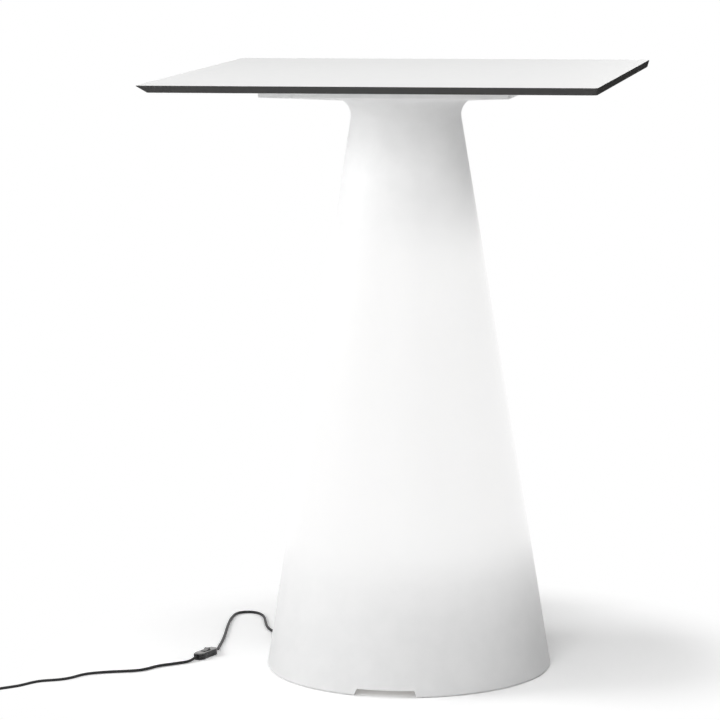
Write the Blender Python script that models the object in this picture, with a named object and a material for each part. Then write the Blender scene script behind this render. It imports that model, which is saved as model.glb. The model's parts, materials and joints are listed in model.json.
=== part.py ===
"""Light-up bar table: a square laminate top on a hollow, translucent base with a lamp inside.

Metres, +Z up. The origin is on the floor under the middle of the base. The sides of the
top run along X and Y, and the notch in the foot rim faces -Y.
"""

import math

import bmesh
import bpy
import numpy as np
from mathutils import Matrix, Vector

# Clearances
GAP = 0.0003  # between pieces that touch
OVERRUN = 0.004  # by which a cutter passes the faces that it cuts
SHARP_ANGLE = math.radians(32)

# Table top
TABLE_HEIGHT = 1.100
TOP_SIDE = 0.800
TOP_THICK = 0.013
TOP_LIP = 0.0015  # upright part of the edge, above the undercut
UNDERCUT = 0.0098  # by which the lower face is smaller, on each side
UNDERCUT_SHIFT_SHARE = 0.74  # of the undercut: how far the lower face lies off the middle, along +X
TOP_CORNER_RADIUS = 0.008
TOP_BOTTOM = TABLE_HEIGHT - TOP_THICK

# Base shell
SHELL_TOP = TOP_BOTTOM - GAP
WALL = 0.006
FLANGE_SIDE = 0.450
FLANGE_EDGE = 0.019
FLANGE_CORNER_RADIUS = 0.005
FLANGE_SLOPE = math.radians(7.8)
NECK_RADIUS = 0.1005
NECK_FILLET = 0.032
BASE_RADIUS = 0.264
RIM_FILLET = 0.0045
RIM_WIDTH = 0.016
RECESS = 0.015  # from the floor up to the ledge
LEDGE_THICK = 0.006
LEDGE_WIDTH = 0.058
SHELL_SIDES = 72
CORNER_STEPS = 4  # of the flange's corner arcs
FILLET_STEPS = 6

# Notch in the foot rim
NOTCH_CENTRE = 0.004
NOTCH_TOP_WIDTH = 0.105
NOTCH_FLOOR_WIDTH = 0.1155
NOTCH_HEIGHT = 0.013

# Fixing of the top
FIXING_INSET = 0.035  # from the flange's side to a screw
FIXING_COLUMN_RADIUS = 0.018
FIXING_POCKET_RADIUS = 0.0100
FIXING_POCKET_DEPTH = 0.0084
TOP_SCREW_RADIUS = 0.0026
TOP_SCREW_CLEARANCE = 0.0006
TOP_SCREW_FLANGE_RADIUS = 0.0070
TOP_SCREW_FLANGE = 0.0012
TOP_SCREW_HEAD_RADIUS = 0.0046
TOP_SCREW_HEAD = 0.0036
INSERT_RADIUS = 0.0046
INSERT_DEPTH = 0.0092
INSERT_FLOOR = 0.0008  # between a screw's end and the roof of its insert

# Bottom cover
COVER_THICK = 0.003
COVER_CLEARANCE = 0.004  # round the cover, inside the rim
COVER_SCREWS = 4
COVER_SCREW_INSET = 0.020  # from the cover's edge
COVER_SCREW_RADIUS = 0.0018
COVER_SCREW_HEAD_RADIUS = 0.0040
COVER_SCREW_HEAD = 0.0022
COVER_SCREW_DEPTH = 0.0045  # in the ledge

# Ballast
BALLAST_CLEARANCE = 0.012  # inside the ledge's opening
BALLAST_THICK = 0.012
BALLAST_BOLTS = 3
BALLAST_BOLT_INSET = 0.022
BALLAST_BOLT_RADIUS = 0.0029
BALLAST_BOLT_HEAD_RADIUS = 0.0050
BALLAST_BOLT_HEAD = 0.0032
BALLAST_BOLT_DEPTH = 0.009

# Lamp
MAST_SIDE = 0.030
MAST_WALL = 0.0025
MAST_HEADROOM = 0.1931  # from its top up to the top of the shell
FOOT_RADIUS = 0.050
FOOT_THICK = 0.006
SPIGOT_LENGTH = 0.040
FOOT_SCREW_COUNT = 2
FOOT_SCREW_INSET = 0.007
FOOT_SCREW_RADIUS = 0.0019
FOOT_SCREW_HEAD_RADIUS = 0.0036
FOOT_SCREW_HEAD = 0.0022
FOOT_SCREW_DEPTH = 0.008
BOARD_WIDTH = 0.020
BOARD_THICK = 0.0016
BOARD_END_MARGIN = 0.030  # from the mast's ends
CHIPS = 14  # on each board
CHIP_LENGTH = 0.0050
CHIP_HEIGHT = 0.0010
DIFFUSER_RADIUS = 0.0345
DIFFUSER_WALL = 0.0025
CAP_FLOOR = 0.004
CAP_HEIGHT = 0.012
CAP_LIP = 0.0015  # by which a cap passes the diffuser

# Driver
DRIVER_LENGTH = 0.120
DRIVER_WIDTH = 0.042
DRIVER_HEIGHT = 0.026
DRIVER_WALL = 0.002
DRIVER_LID_THICK = 0.002
DRIVER_OFFSET = 0.092  # from the mast's axis, along +X
DRIVER_BOARD_THICK = 0.0016
DRIVER_BOARD_CLEARANCE = 0.001
DRIVER_PILLAR = 0.0045  # side of the corner posts
DRIVER_SCREW_RADIUS = 0.0011
DRIVER_SCREW_HEAD_RADIUS = 0.0020
DRIVER_SCREW_HEAD = 0.0012
DRIVER_SCREW_DEPTH = 0.007
TRANSFORMER_SIDE = 0.022
TRANSFORMER_HEIGHT = 0.015
TRANSFORMER_FROM_MIDDLE = 0.012
CAPACITOR_RADIUS = 0.006
CAPACITOR_HEIGHT = 0.014
CAPACITOR_FROM_MIDDLE = 0.030

# Terminal block
BLOCK_LENGTH = 0.034
BLOCK_WIDTH = 0.018
BLOCK_HEIGHT = 0.014
BLOCK_INSET = 0.038  # of its middle, from the ballast's edge
BLOCK_SCREW_RADIUS = 0.0024
BLOCK_SCREW_DEPTH = 0.005
BLOCK_SCREW_SPACING = 0.009

# Cord and its way out
CORD_DIAMETER = 0.0052
EXIT_ANGLE = math.radians(155)
EXIT_HEIGHT = 0.034
PAD_RADIUS = 0.014
PAD_PROUD = 0.0039  # past the shell at the height of the exit
PAD_INWARD = 0.0035
GLAND_THREAD_RADIUS = 0.0060
GLAND_FLANGE_RADIUS = 0.0095
GLAND_FLANGE = 0.0030
GLAND_NUT = 0.0050
GLAND_NUT_RADIUS = 0.0098
RELIEF_LENGTH = 0.026
RELIEF_BASE_RADIUS = 0.0066
RELIEF_TIP_RADIUS = 0.0040
RELIEF_COLLAR_SHARE = 0.2
LEAD_DIAMETER = 0.0044

# Inline switch, in its own frame: X along it towards the base, Z up from the floor
SWITCH_PLACE = (-0.3860, -0.0190)
SWITCH_HEADING = math.radians(71)
SWITCH_LENGTH = 0.062
SWITCH_WIDTH = 0.021
SWITCH_WAIST = 0.0196
SWITCH_SHOULDER = 0.021  # from the middle to where the ends taper
SWITCH_END_WIDTH = 0.0125
SWITCH_HEIGHT = 0.0125
SWITCH_STATION_SHARES = (1, 0.95, 0.88, 0.79, 0.68, 0.45, 0.22, 0)
SWITCH_TAPER_POWER = 1.6
SWITCH_EDGE = 0.0012  # bevel of its long edges
SWITCH_PARTING = 0.0062  # height of the joint between the shells
SWITCH_WALL = 0.0015
SWITCH_CHAMBER = 0.040  # length of the hollow
CHAMBER_WIDTH = 0.0135
CORD_HEIGHT_IN_SWITCH = 0.0060
CORD_GRIP = 0.0085  # length of cord held at each end of the switch
SWITCH_SCREW_ALONG = 0.0255
SWITCH_SCREW_ASIDE = 0.0053
SWITCH_SCREW_RADIUS = 0.0009
SWITCH_SCREW_HEAD_RADIUS = 0.0016
SWITCH_SCREW_HEAD = 0.0010
SWITCH_SCREW_LENGTH = 0.0085

# Rocker: its profile is drawn about its pivot, level, and it rests pressed at the near end
ROCKER_WIDTH = 0.0100
ROCKER_RADIUS = 0.0098  # of its round ends
ROCKER_CORNER_ANGLE = math.radians(37)
ROCKER_HEEL_ANGLE = math.radians(-17)
ROCKER_TILT = math.radians(11)  # each way
ROCKER_CLEARANCE = 0.0004
PIVOT_HEIGHT = 0.0093
PIVOT_RADIUS = 0.0009
PIVOT_LENGTH = 0.0165
BLADE_LENGTH = 0.016
BLADE_WIDTH = 0.0050
BLADE_THICK = 0.0006
BLADE_TAB = 0.0020  # height of its raised contacts
BLADE_TAB_LENGTH = 0.0022

# Cord's routes on the floor, from the base to the switch and on to the coil
LIES = CORD_DIAMETER / 2 + GAP
ROUTE_TO_SWITCH = (
    (-0.2817, 0.1358, 0.0310),
    (-0.2871, 0.1462, 0.0240),
    (-0.2912, 0.1583, 0.0149),
    (-0.2950, 0.1705, 0.0075),
    (-0.2992, 0.1815, 0.0037),
    (-0.3044, 0.1915, LIES),
    (-0.3120, 0.2040, LIES),
    (-0.3223, 0.2250, LIES),
    (-0.3318, 0.2539, LIES),
    (-0.3412, 0.2860, LIES),
    (-0.3485, 0.3080, LIES),
    (-0.3567, 0.3242, LIES),
    (-0.3651, 0.3350, LIES),
    (-0.3740, 0.3413, LIES),
    (-0.3837, 0.3440, LIES),
    (-0.3935, 0.3422, LIES),
    (-0.4017, 0.3365, LIES),
    (-0.4072, 0.3280, LIES),
    (-0.4093, 0.3180, LIES),
    (-0.4095, 0.3020, LIES),
    (-0.4083, 0.2783, LIES),
    (-0.4039, 0.2420, LIES),
    (-0.3966, 0.1944, LIES),
    (-0.3885, 0.1452, LIES),
    (-0.3828, 0.1046, LIES),
    (-0.3789, 0.0700, LIES),
    (-0.3757, 0.0420, 0.0034),
    (-0.3733, 0.0270, 0.0046),
)
ROUTE_TO_COIL = (
    (-0.3993, -0.0578, 0.0052),
    (-0.4050, -0.0695, 0.0032),
    (-0.4118, -0.0775, LIES),
    (-0.4207, -0.0855, LIES),
    (-0.4332, -0.0958, LIES),
    (-0.4460, -0.1065, LIES),
    (-0.4577, -0.1205, LIES),
    (-0.4680, -0.1375, LIES),
    (-0.4798, -0.1505, LIES),
    (-0.4940, -0.1585, LIES),
    (-0.5212, -0.1685, LIES),
    (-0.5460, -0.1795, LIES),
    (-0.5616, -0.1890, LIES),
    (-0.5738, -0.2010, LIES),
    (-0.5835, -0.2180, LIES),
    (-0.5937, -0.2330, LIES),
    (-0.6062, -0.2435, LIES),
    (-0.6196, -0.2505, LIES),
    (-0.6333, -0.2575, LIES),
    (-0.6450, -0.2680, LIES),
    (-0.6550, -0.2830, LIES),
    (-0.6655, -0.2985, LIES),
    (-0.6769, -0.3100, LIES),
    (-0.6887, -0.3205, LIES),
    (-0.7010, -0.3312, LIES),
    (-0.7180, -0.3458, 0.0034),
    (-0.7330, -0.3586, 0.0044),
)
ROUTE_STEP = 3 * CORD_DIAMETER  # between the points of a tube
TUBE_RESOLUTION = 2
FINE_STEPS = 24  # between two points of a route, when it is measured

# Coil of the length that is put away, and its tie
COIL_LAYERS = 4
COIL_TURNS = 2  # in each layer
COIL_POINTS = 24  # in each turn
COIL_OUTER = 0.0343  # to the middle of the cord
COIL_PITCH = 0.0058
COIL_CLIMB = 0.5  # of a turn, over which the cord climbs a layer
COIL_RESOLUTION = 1
TIE_THICK = 0.0012
TIE_WIDTH = 0.0048
TIE_CLEARANCE = 0.0006
TIE_CORNER_RADIUS = 0.0030
TIE_HEAD = 0.0032
TIE_HEAD_HEIGHT = 0.0060
TIE_HEAD_SHARE = 1.2  # its width, as a share of the strap's
COIL_LIFT = TIE_THICK + TIE_CLEARANCE

# From the coil to the plug, in the coil's frame: X along the cord where it comes in, Y from
# that point to the coil's middle and on
TAIL_ROUTE = (
    (0.0140, -0.0340, 0.0213),
    (0.0240, -0.0325, 0.0198),
    (0.0350, -0.0286, 0.0172),
    (0.0455, -0.0220, 0.0134),
    (0.0545, -0.0125, 0.0092),
    (0.0605, -0.0010, 0.0058),
    (0.0635, 0.0120, 0.0040),
    (0.0636, 0.0250, 0.0044),
)

# Plug, in its own frame: X out of its face, from the tip of its strain relief
PLUG_PLACE = (0.0622, 0.0415)  # of that tip, in the coil's frame
PLUG_HEADING = math.radians(97)
PLUG_RELIEF = 0.020
PLUG_RELIEF_RADIUS = 0.0036
PLUG_WIDTH = 0.0353
PLUG_THICK = 0.0137
PLUG_BODY = 0.034
PLUG_EDGE = 0.0030
PLUG_SHOULDER_SHARE = 0.36
PLUG_CORNER_SHARE = 0.42
PIN_RADIUS = 0.0020
PIN_LENGTH = 0.0190
PIN_SPACING = 0.0186
PIN_BITE = 0.0060  # of a pin inside the plug

ROUND = 24  # sides of a round piece
SMALL_ROUND = 12  # sides of a screw


def clear_scene():
    """Removes what a new file holds."""
    for obj in list(bpy.data.objects):
        bpy.data.objects.remove(obj, do_unlink=True)


def finish(name, colour, roughness, metallic=0.0):
    """A Principled material."""
    made = bpy.data.materials.new(name)
    made.use_nodes = True
    shader = made.node_tree.nodes["Principled BSDF"]
    shader.inputs["Base Color"].default_value = (*colour, 1.0)
    shader.inputs["Roughness"].default_value = roughness
    shader.inputs["Metallic"].default_value = metallic
    return made


def add_object(name, shape, look, place=None, parent=None):
    """Makes a bmesh, or a mesh that another piece has, into a named object."""
    mesh = shape
    if isinstance(shape, bmesh.types.BMesh):
        bmesh.ops.recalc_face_normals(shape, faces=shape.faces)
        mesh = bpy.data.meshes.new(name)
        shape.to_mesh(mesh)
        shape.free()
        mesh.shade_smooth()
        mesh.set_sharp_from_angle(angle=SHARP_ANGLE)
        mesh.materials.append(look)
    obj = bpy.data.objects.new(name, mesh)
    bpy.context.collection.objects.link(obj)
    if place is not None:
        obj.location = place
    obj.parent = parent
    return obj


def add_helper(name, shape, parent=None):
    """Makes a bmesh into a cutter or a shape to join, which isn't a piece itself."""
    obj = add_object(name, shape, None, parent=parent)
    obj.hide_render = True
    obj.display_type = "WIRE"
    return obj


def combine(target, helper, operation):
    """Cuts the helper from the target, or joins it."""
    modifier = target.modifiers.new(helper.name, "BOOLEAN")
    modifier.operation = operation
    modifier.solver = "EXACT"
    modifier.object = helper


def add_frame(name, place, turn):
    """An empty that carries pieces drawn in its own frame, turned about Z."""
    empty = bpy.data.objects.new(name, None)
    bpy.context.collection.objects.link(empty)
    empty.location = place
    empty.rotation_euler.z = turn
    return empty


def add_loft(shape, rings, closed=False):
    """Joins rings of points by quads. Its ends get faces, unless it closes on itself."""
    made = [[shape.verts.new(point) for point in ring] for ring in rings]
    following = made[1:] + made[:1] if closed else made[1:]
    for low, high in zip(made, following):
        for i, corner in enumerate(low):
            j = (i + 1) % len(low)
            shape.faces.new((corner, low[j], high[j], high[i]))
    if not closed:
        shape.faces.new(made[0])
        shape.faces.new(made[-1])


def circle(radius, height, sides=ROUND):
    """Points of a level circle round the Z axis."""
    turns = [2 * math.pi * i / sides for i in range(sides)]
    return [Vector((radius * math.cos(a), radius * math.sin(a), height)) for a in turns]


def add_turned(shape, profile, place=None, sides=ROUND, closed=False):
    """Adds a turned shape. profile lists (radius, height), and place moves it from the Z axis."""
    place = place or Matrix()
    rings = [[place @ p for p in circle(radius, height, sides)] for radius, height in profile]
    add_loft(shape, rings, closed)


def rounded_rectangle(width, depth, radius, steps=CORNER_STEPS):
    """Points of a rectangle round the origin, with arcs for corners."""
    points = []
    for quarter, (sx, sy) in enumerate(((1, 1), (-1, 1), (-1, -1), (1, -1))):
        for step in range(steps + 1):
            angle = math.pi / 2 * (quarter + step / steps)
            x = sx * (width / 2 - radius) + radius * math.cos(angle)
            y = sy * (depth / 2 - radius) + radius * math.sin(angle)
            points.append((x, y))
    return points


def rectangle(width, depth):
    """Corners of a rectangle round the origin."""
    return [(sx * width / 2, sy * depth / 2) for sx, sy in ((1, 1), (-1, 1), (-1, -1), (1, -1))]


def level(outline, height, place=None):
    """An outline's points at one height."""
    place = place or Matrix()
    return [place @ Vector((x, y, height)) for x, y in outline]


def add_prism(shape, outline, low, high, place=None):
    """Adds an upright prism with that outline."""
    add_loft(shape, [level(outline, low, place), level(outline, high, place)])


def new_shape():
    """An empty bmesh."""
    return bmesh.new()


def shift(x=0.0, y=0.0, z=0.0):
    """A move, as a matrix."""
    return Matrix.Translation((x, y, z))


def turn_z(angle):
    """A turn about Z, as a matrix."""
    return Matrix.Rotation(angle, 4, "Z")


def add_screw(shape, radius, head_radius, head, length, place=None):
    """Adds a screw that points up, with its shaft's root at height 0 and its head below."""
    profile = ((head_radius, -head), (head_radius, 0), (radius, 0), (radius, length))
    add_turned(shape, profile, place, SMALL_ROUND)


# Shape of the shell's skin, which runs down from the flange, round the neck and down the cone
FLANGE_HALF = FLANGE_SIDE / 2
FLANGE_BOTTOM = SHELL_TOP - FLANGE_EDGE
FILLET_MIDDLE = NECK_RADIUS + NECK_FILLET
FILLET_ABOVE = NECK_FILLET * math.cos(FLANGE_SLOPE)
FILLET_ASIDE = NECK_FILLET * math.sin(FLANGE_SLOPE)
UNDERSIDE_RUN = FLANGE_HALF - FILLET_MIDDLE + FILLET_ASIDE
UNDERSIDE_START = FLANGE_BOTTOM - UNDERSIDE_RUN * math.tan(FLANGE_SLOPE)
FILLET_HEIGHT = UNDERSIDE_START - FILLET_ABOVE
CONE_REACH = math.hypot(FILLET_MIDDLE - BASE_RADIUS, FILLET_HEIGHT)
CONE_LINE = math.atan2(FILLET_HEIGHT, FILLET_MIDDLE - BASE_RADIUS)
CONE_SLOPE = CONE_LINE + math.asin(NECK_FILLET / CONE_REACH) - math.pi / 2
RIM_INNER = BASE_RADIUS - RIM_WIDTH
OPENING_RADIUS = RIM_INNER - LEDGE_WIDTH
LEDGE_TOP = RECESS + LEDGE_THICK


def cone_radius(height, inset=0.0):
    """Radius of the cone at a height, or of the skin that lies inside it by inset."""
    return BASE_RADIUS - height * math.tan(CONE_SLOPE) - inset / math.cos(CONE_SLOPE)


def square_ring(side, height):
    """Points of the flange's outline, spread so that each faces one of a round ring's."""
    quarter = SHELL_SIDES // 4
    first = (quarter - CORNER_STEPS) // 2
    middle = side / 2 - FLANGE_CORNER_RADIUS
    points = []
    for i in range(SHELL_SIDES):
        turns, step = divmod(i, quarter)
        angle = math.pi / 2 * step / quarter
        if step < first:
            x, y = side / 2, side / 2 * math.tan(angle)
        elif step > first + CORNER_STEPS:
            x, y = side / 2 / math.tan(angle), side / 2
        else:
            bend = math.pi / 2 * (step - first) / CORNER_STEPS
            x = middle + FLANGE_CORNER_RADIUS * math.cos(bend)
            y = middle + FLANGE_CORNER_RADIUS * math.sin(bend)
        points.append(turn_z(math.pi / 2 * turns) @ Vector((x, y, height)))
    return points


def neck_rings(inset=0.0):
    """Round rings of the neck's fillet, from the flange down to the cone."""
    rings = []
    radius = NECK_FILLET + inset
    for step in range(FILLET_STEPS + 1):
        share = step / FILLET_STEPS
        angle = (math.pi / 2 - FLANGE_SLOPE) * (1 - share) - CONE_SLOPE * share
        out = FILLET_MIDDLE - radius * math.cos(angle)
        rings.append(circle(out, FILLET_HEIGHT + radius * math.sin(angle), SHELL_SIDES))
    return rings


def rim_rings():
    """Round rings of the fillet under the foot rim, from the cone down to the floor."""
    middle = cone_radius(RIM_FILLET, RIM_FILLET)
    rings = []
    for step in range(CORNER_STEPS + 1):
        angle = CONE_SLOPE - (CONE_SLOPE + math.pi / 2) * step / CORNER_STEPS
        height = RIM_FILLET * (1 + math.sin(angle))
        rings.append(circle(middle + RIM_FILLET * math.cos(angle), height, SHELL_SIDES))
    return rings


def underside_height(x, y):
    """Height of the flange's sloping underside over a place near its corner."""
    start = FILLET_MIDDLE - FILLET_ASIDE
    reach = math.hypot(x, y)
    edge = FLANGE_HALF * reach / max(abs(x), abs(y))
    share = (reach - start) / (edge - start)
    return UNDERSIDE_START + share * (FLANGE_BOTTOM - UNDERSIDE_START)


FIXING_OFFSET = FLANGE_HALF - FIXING_INSET
FIXING_SIGNS = ((1, 1), (-1, 1), (-1, -1), (1, -1))
FIXING_PLACES = [(sx * FIXING_OFFSET, sy * FIXING_OFFSET) for sx, sy in FIXING_SIGNS]
FIXING_SKIN = underside_height(FIXING_OFFSET, FIXING_OFFSET)
FIXING_ROOF = FIXING_SKIN + FIXING_POCKET_DEPTH

# Heights inside the base
COVER_RADIUS = RIM_INNER - COVER_CLEARANCE
COVER_TOP = RECESS - GAP
COVER_BOTTOM = COVER_TOP - COVER_THICK
COVER_SCREW_CIRCLE = COVER_RADIUS - COVER_SCREW_INSET
BALLAST_BOTTOM = COVER_TOP + GAP
BALLAST_TOP = BALLAST_BOTTOM + BALLAST_THICK
BALLAST_RADIUS = OPENING_RADIUS - BALLAST_CLEARANCE
BALLAST_BOLT_CIRCLE = BALLAST_RADIUS - BALLAST_BOLT_INSET
SEAT = BALLAST_TOP + GAP  # for what stands on the ballast

# The gland's axis: its own Z runs out from the table's axis
PAD_OUTER = cone_radius(EXIT_HEIGHT) + PAD_PROUD
PAD_INNER = cone_radius(EXIT_HEIGHT, WALL) - PAD_INWARD
EXIT_AXIS = shift(z=EXIT_HEIGHT) @ turn_z(EXIT_ANGLE) @ Matrix.Rotation(math.pi / 2, 4, "Y")
EXIT_WAY = turn_z(EXIT_ANGLE) @ Vector((1, 0, 0))
RELIEF_START = PAD_OUTER + GLAND_FLANGE + 2 * GAP
RELIEF_TIP = RELIEF_START + RELIEF_LENGTH
CORD_BORE = CORD_DIAMETER / 2 + GAP
GLAND_END = PAD_INNER - 2 * GAP - 2 * GLAND_NUT


def around(count, radius, first=0.0):
    """Places at equal turns on a circle."""
    turns = [first + 2 * math.pi * i / count for i in range(count)]
    return [(radius * math.cos(a), radius * math.sin(a)) for a in turns]


COVER_SCREW_PLACES = around(COVER_SCREWS, COVER_SCREW_CIRCLE, math.pi / 4)
BALLAST_BOLT_PLACES = around(BALLAST_BOLTS, BALLAST_BOLT_CIRCLE, math.pi / 2)
FOOT_SCREW_PLACES = around(FOOT_SCREW_COUNT, FOOT_RADIUS - FOOT_SCREW_INSET)


def add_holes(shape, places, radius, low, high, sides=SMALL_ROUND):
    """Adds an upright cylinder at each place."""
    for x, y in places:
        add_turned(shape, ((radius, low), (radius, high)), shift(x, y), sides)


def copies(name, shape, look, places, height, turn=0.0):
    """Makes one object at each place, all with one mesh. Names end in a number."""
    made = shape
    for i, (x, y) in enumerate(places, 1):
        obj = add_object(f"{name}_{i}", made, look, (x, y, height))
        obj.rotation_euler.x = turn
        made = obj.data


def build_top(looks):
    """The laminate top, with blind holes for its inserts."""
    shape = new_shape()
    under = 1 - 2 * UNDERCUT / TOP_SIDE
    shift_x = UNDERCUT * UNDERCUT_SHIFT_SHARE
    full = rounded_rectangle(TOP_SIDE, TOP_SIDE, TOP_CORNER_RADIUS)
    lower = [(x * under + shift_x, y * under) for x, y in full]
    rings = [level(lower, TOP_BOTTOM)]
    rings.append(level(full, TABLE_HEIGHT - TOP_LIP))
    rings.append(level(full, TABLE_HEIGHT))
    add_loft(shape, rings)
    top = add_object("table_top", shape, looks["laminate"])
    holes = new_shape()
    roof = TOP_BOTTOM + INSERT_DEPTH + GAP
    add_holes(holes, FIXING_PLACES, INSERT_RADIUS + GAP, TOP_BOTTOM - OVERRUN, roof)
    combine(top, add_helper("insert_holes", holes), "DIFFERENCE")


def build_top_fixings(looks):
    """Threaded inserts in the top, and the flanged screws that hold it to the shell."""
    bore = TOP_SCREW_RADIUS + GAP
    insert = new_shape()
    ring = ((INSERT_RADIUS, 0), (INSERT_RADIUS, INSERT_DEPTH), (bore, INSERT_DEPTH), (bore, 0))
    add_turned(insert, ring, sides=SMALL_ROUND, closed=True)
    copies("top_insert", insert, looks["brass"], FIXING_PLACES, TOP_BOTTOM)
    root = FIXING_ROOF - GAP
    screw = new_shape()
    profile = (
        (TOP_SCREW_HEAD_RADIUS, -TOP_SCREW_FLANGE - TOP_SCREW_HEAD),
        (TOP_SCREW_HEAD_RADIUS, -TOP_SCREW_FLANGE),
        (TOP_SCREW_FLANGE_RADIUS, -TOP_SCREW_FLANGE),
        (TOP_SCREW_FLANGE_RADIUS, 0),
        (TOP_SCREW_RADIUS, 0),
        (TOP_SCREW_RADIUS, TOP_BOTTOM + INSERT_DEPTH - INSERT_FLOOR - root),
    )
    add_turned(screw, profile, sides=SMALL_ROUND)
    copies("top_screw", screw, looks["steel"], FIXING_PLACES, root)


def build_shell(looks):
    """The moulded base: a closed skin that is open only underneath."""
    rings = [square_ring(FLANGE_SIDE, SHELL_TOP), square_ring(FLANGE_SIDE, FLANGE_BOTTOM)]
    rings += neck_rings()
    rings += rim_rings()
    for radius, height in (
        (RIM_INNER, 0),
        (RIM_INNER, RECESS),
        (OPENING_RADIUS, RECESS),
        (OPENING_RADIUS, LEDGE_TOP),
        (cone_radius(LEDGE_TOP, WALL), LEDGE_TOP),
    ):
        rings.append(circle(radius, height, SHELL_SIDES))
    rings += reversed(neck_rings(WALL))
    slope = math.tan(FLANGE_SLOPE)
    inner_low = FLANGE_BOTTOM + WALL / math.cos(FLANGE_SLOPE) - WALL * slope
    inner_side = FLANGE_SIDE - 2 * WALL
    rings.append(square_ring(inner_side, inner_low))
    rings.append(square_ring(inner_side, SHELL_TOP - WALL))
    shape = new_shape()
    add_loft(shape, rings)
    shell = add_object("base_shell", shape, looks["shell"])

    columns = new_shape()
    root = FIXING_SKIN + WALL / 2
    crown = SHELL_TOP - WALL / 2
    add_holes(columns, FIXING_PLACES, FIXING_COLUMN_RADIUS, root, crown, ROUND)
    pad = ((PAD_RADIUS, PAD_INNER), (PAD_RADIUS, PAD_OUTER))
    add_turned(columns, pad, EXIT_AXIS)
    combine(shell, add_helper("shell_columns", columns), "UNION")

    cuts = new_shape()
    add_holes(cuts, FIXING_PLACES, FIXING_POCKET_RADIUS, FIXING_SKIN - OVERRUN, FIXING_ROOF)
    combine(shell, add_helper("screw_pockets", cuts), "DIFFERENCE")
    cuts = new_shape()
    hole = TOP_SCREW_RADIUS + TOP_SCREW_CLEARANCE
    add_holes(cuts, FIXING_PLACES, hole, FIXING_ROOF - OVERRUN, SHELL_TOP + OVERRUN)
    roof = RECESS + COVER_SCREW_DEPTH + GAP
    pilot = COVER_SCREW_RADIUS + GAP
    add_holes(cuts, COVER_SCREW_PLACES, pilot, RECESS - OVERRUN, roof)
    thread = GLAND_THREAD_RADIUS + GAP
    add_turned(cuts, ((thread, PAD_INNER - OVERRUN), (thread, PAD_OUTER + OVERRUN)), EXIT_AXIS)
    add_notch(cuts)
    combine(shell, add_helper("shell_cuts", cuts), "DIFFERENCE")


def add_notch(shape):
    """Adds the notch's cutter, a trapezoid that runs through the foot rim."""
    top, floor = NOTCH_TOP_WIDTH / 2, NOTCH_FLOOR_WIDTH / 2
    outline = ((-floor, -OVERRUN), (floor, -OVERRUN), (floor, 0), (top, NOTCH_HEIGHT))
    outline += ((-top, NOTCH_HEIGHT), (-floor, 0))
    inner = math.sqrt(RIM_INNER**2 - (floor + abs(NOTCH_CENTRE)) ** 2) - OVERRUN
    rings = []
    for y in (-BASE_RADIUS - OVERRUN, -inner):
        rings.append([Vector((NOTCH_CENTRE + x, y, z)) for x, z in outline])
    add_loft(shape, rings)


def build_cover(looks):
    """The plate that closes the base from below, and the screws that hold it to the ledge."""
    shape = new_shape()
    add_turned(shape, ((COVER_RADIUS, COVER_BOTTOM), (COVER_RADIUS, COVER_TOP)), sides=SHELL_SIDES)
    cover = add_object("bottom_cover", shape, looks["opal"])
    cuts = new_shape()
    low, high = COVER_BOTTOM - OVERRUN, COVER_TOP + OVERRUN
    add_holes(cuts, COVER_SCREW_PLACES, COVER_SCREW_RADIUS + GAP, low, high)
    add_holes(cuts, BALLAST_BOLT_PLACES, BALLAST_BOLT_RADIUS + GAP, low, high)
    combine(cover, add_helper("cover_holes", cuts), "DIFFERENCE")
    root = COVER_BOTTOM - GAP
    screw = new_shape()
    length = RECESS + COVER_SCREW_DEPTH - root
    add_screw(screw, COVER_SCREW_RADIUS, COVER_SCREW_HEAD_RADIUS, COVER_SCREW_HEAD, length)
    copies("cover_screw", screw, looks["steel"], COVER_SCREW_PLACES, root)


def build_ballast(looks):
    """The steel disc that steadies the table, bolted to the cover from below."""
    shape = new_shape()
    profile = ((BALLAST_RADIUS, BALLAST_BOTTOM), (BALLAST_RADIUS, BALLAST_TOP))
    add_turned(shape, profile, sides=SHELL_SIDES)
    disc = add_object("ballast_disc", shape, looks["ballast"])
    cuts = new_shape()
    low, high = BALLAST_BOTTOM - OVERRUN, BALLAST_BOTTOM + BALLAST_BOLT_DEPTH + GAP
    add_holes(cuts, BALLAST_BOLT_PLACES, BALLAST_BOLT_RADIUS + GAP, low, high)
    low = BALLAST_TOP - FOOT_SCREW_DEPTH - GAP
    add_holes(cuts, FOOT_SCREW_PLACES, FOOT_SCREW_RADIUS + GAP, low, BALLAST_TOP + OVERRUN)
    combine(disc, add_helper("ballast_holes", cuts), "DIFFERENCE")
    root = COVER_BOTTOM - GAP
    bolt = new_shape()
    length = BALLAST_BOTTOM + BALLAST_BOLT_DEPTH - root
    head = BALLAST_BOLT_HEAD
    add_screw(bolt, BALLAST_BOLT_RADIUS, BALLAST_BOLT_HEAD_RADIUS, head, length)
    copies("ballast_bolt", bolt, looks["steel"], BALLAST_BOLT_PLACES, root)


FOOT_TOP = SEAT + FOOT_THICK
MAST_BOTTOM = FOOT_TOP + GAP
MAST_TOP = SHELL_TOP - MAST_HEADROOM
CAP_RADIUS = DIFFUSER_RADIUS + CAP_LIP
CAP_SCREEN = MAST_BOTTOM + CAP_FLOOR
UPPER_CAP = MAST_TOP + GAP  # underside of the upper cap's roof


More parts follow.
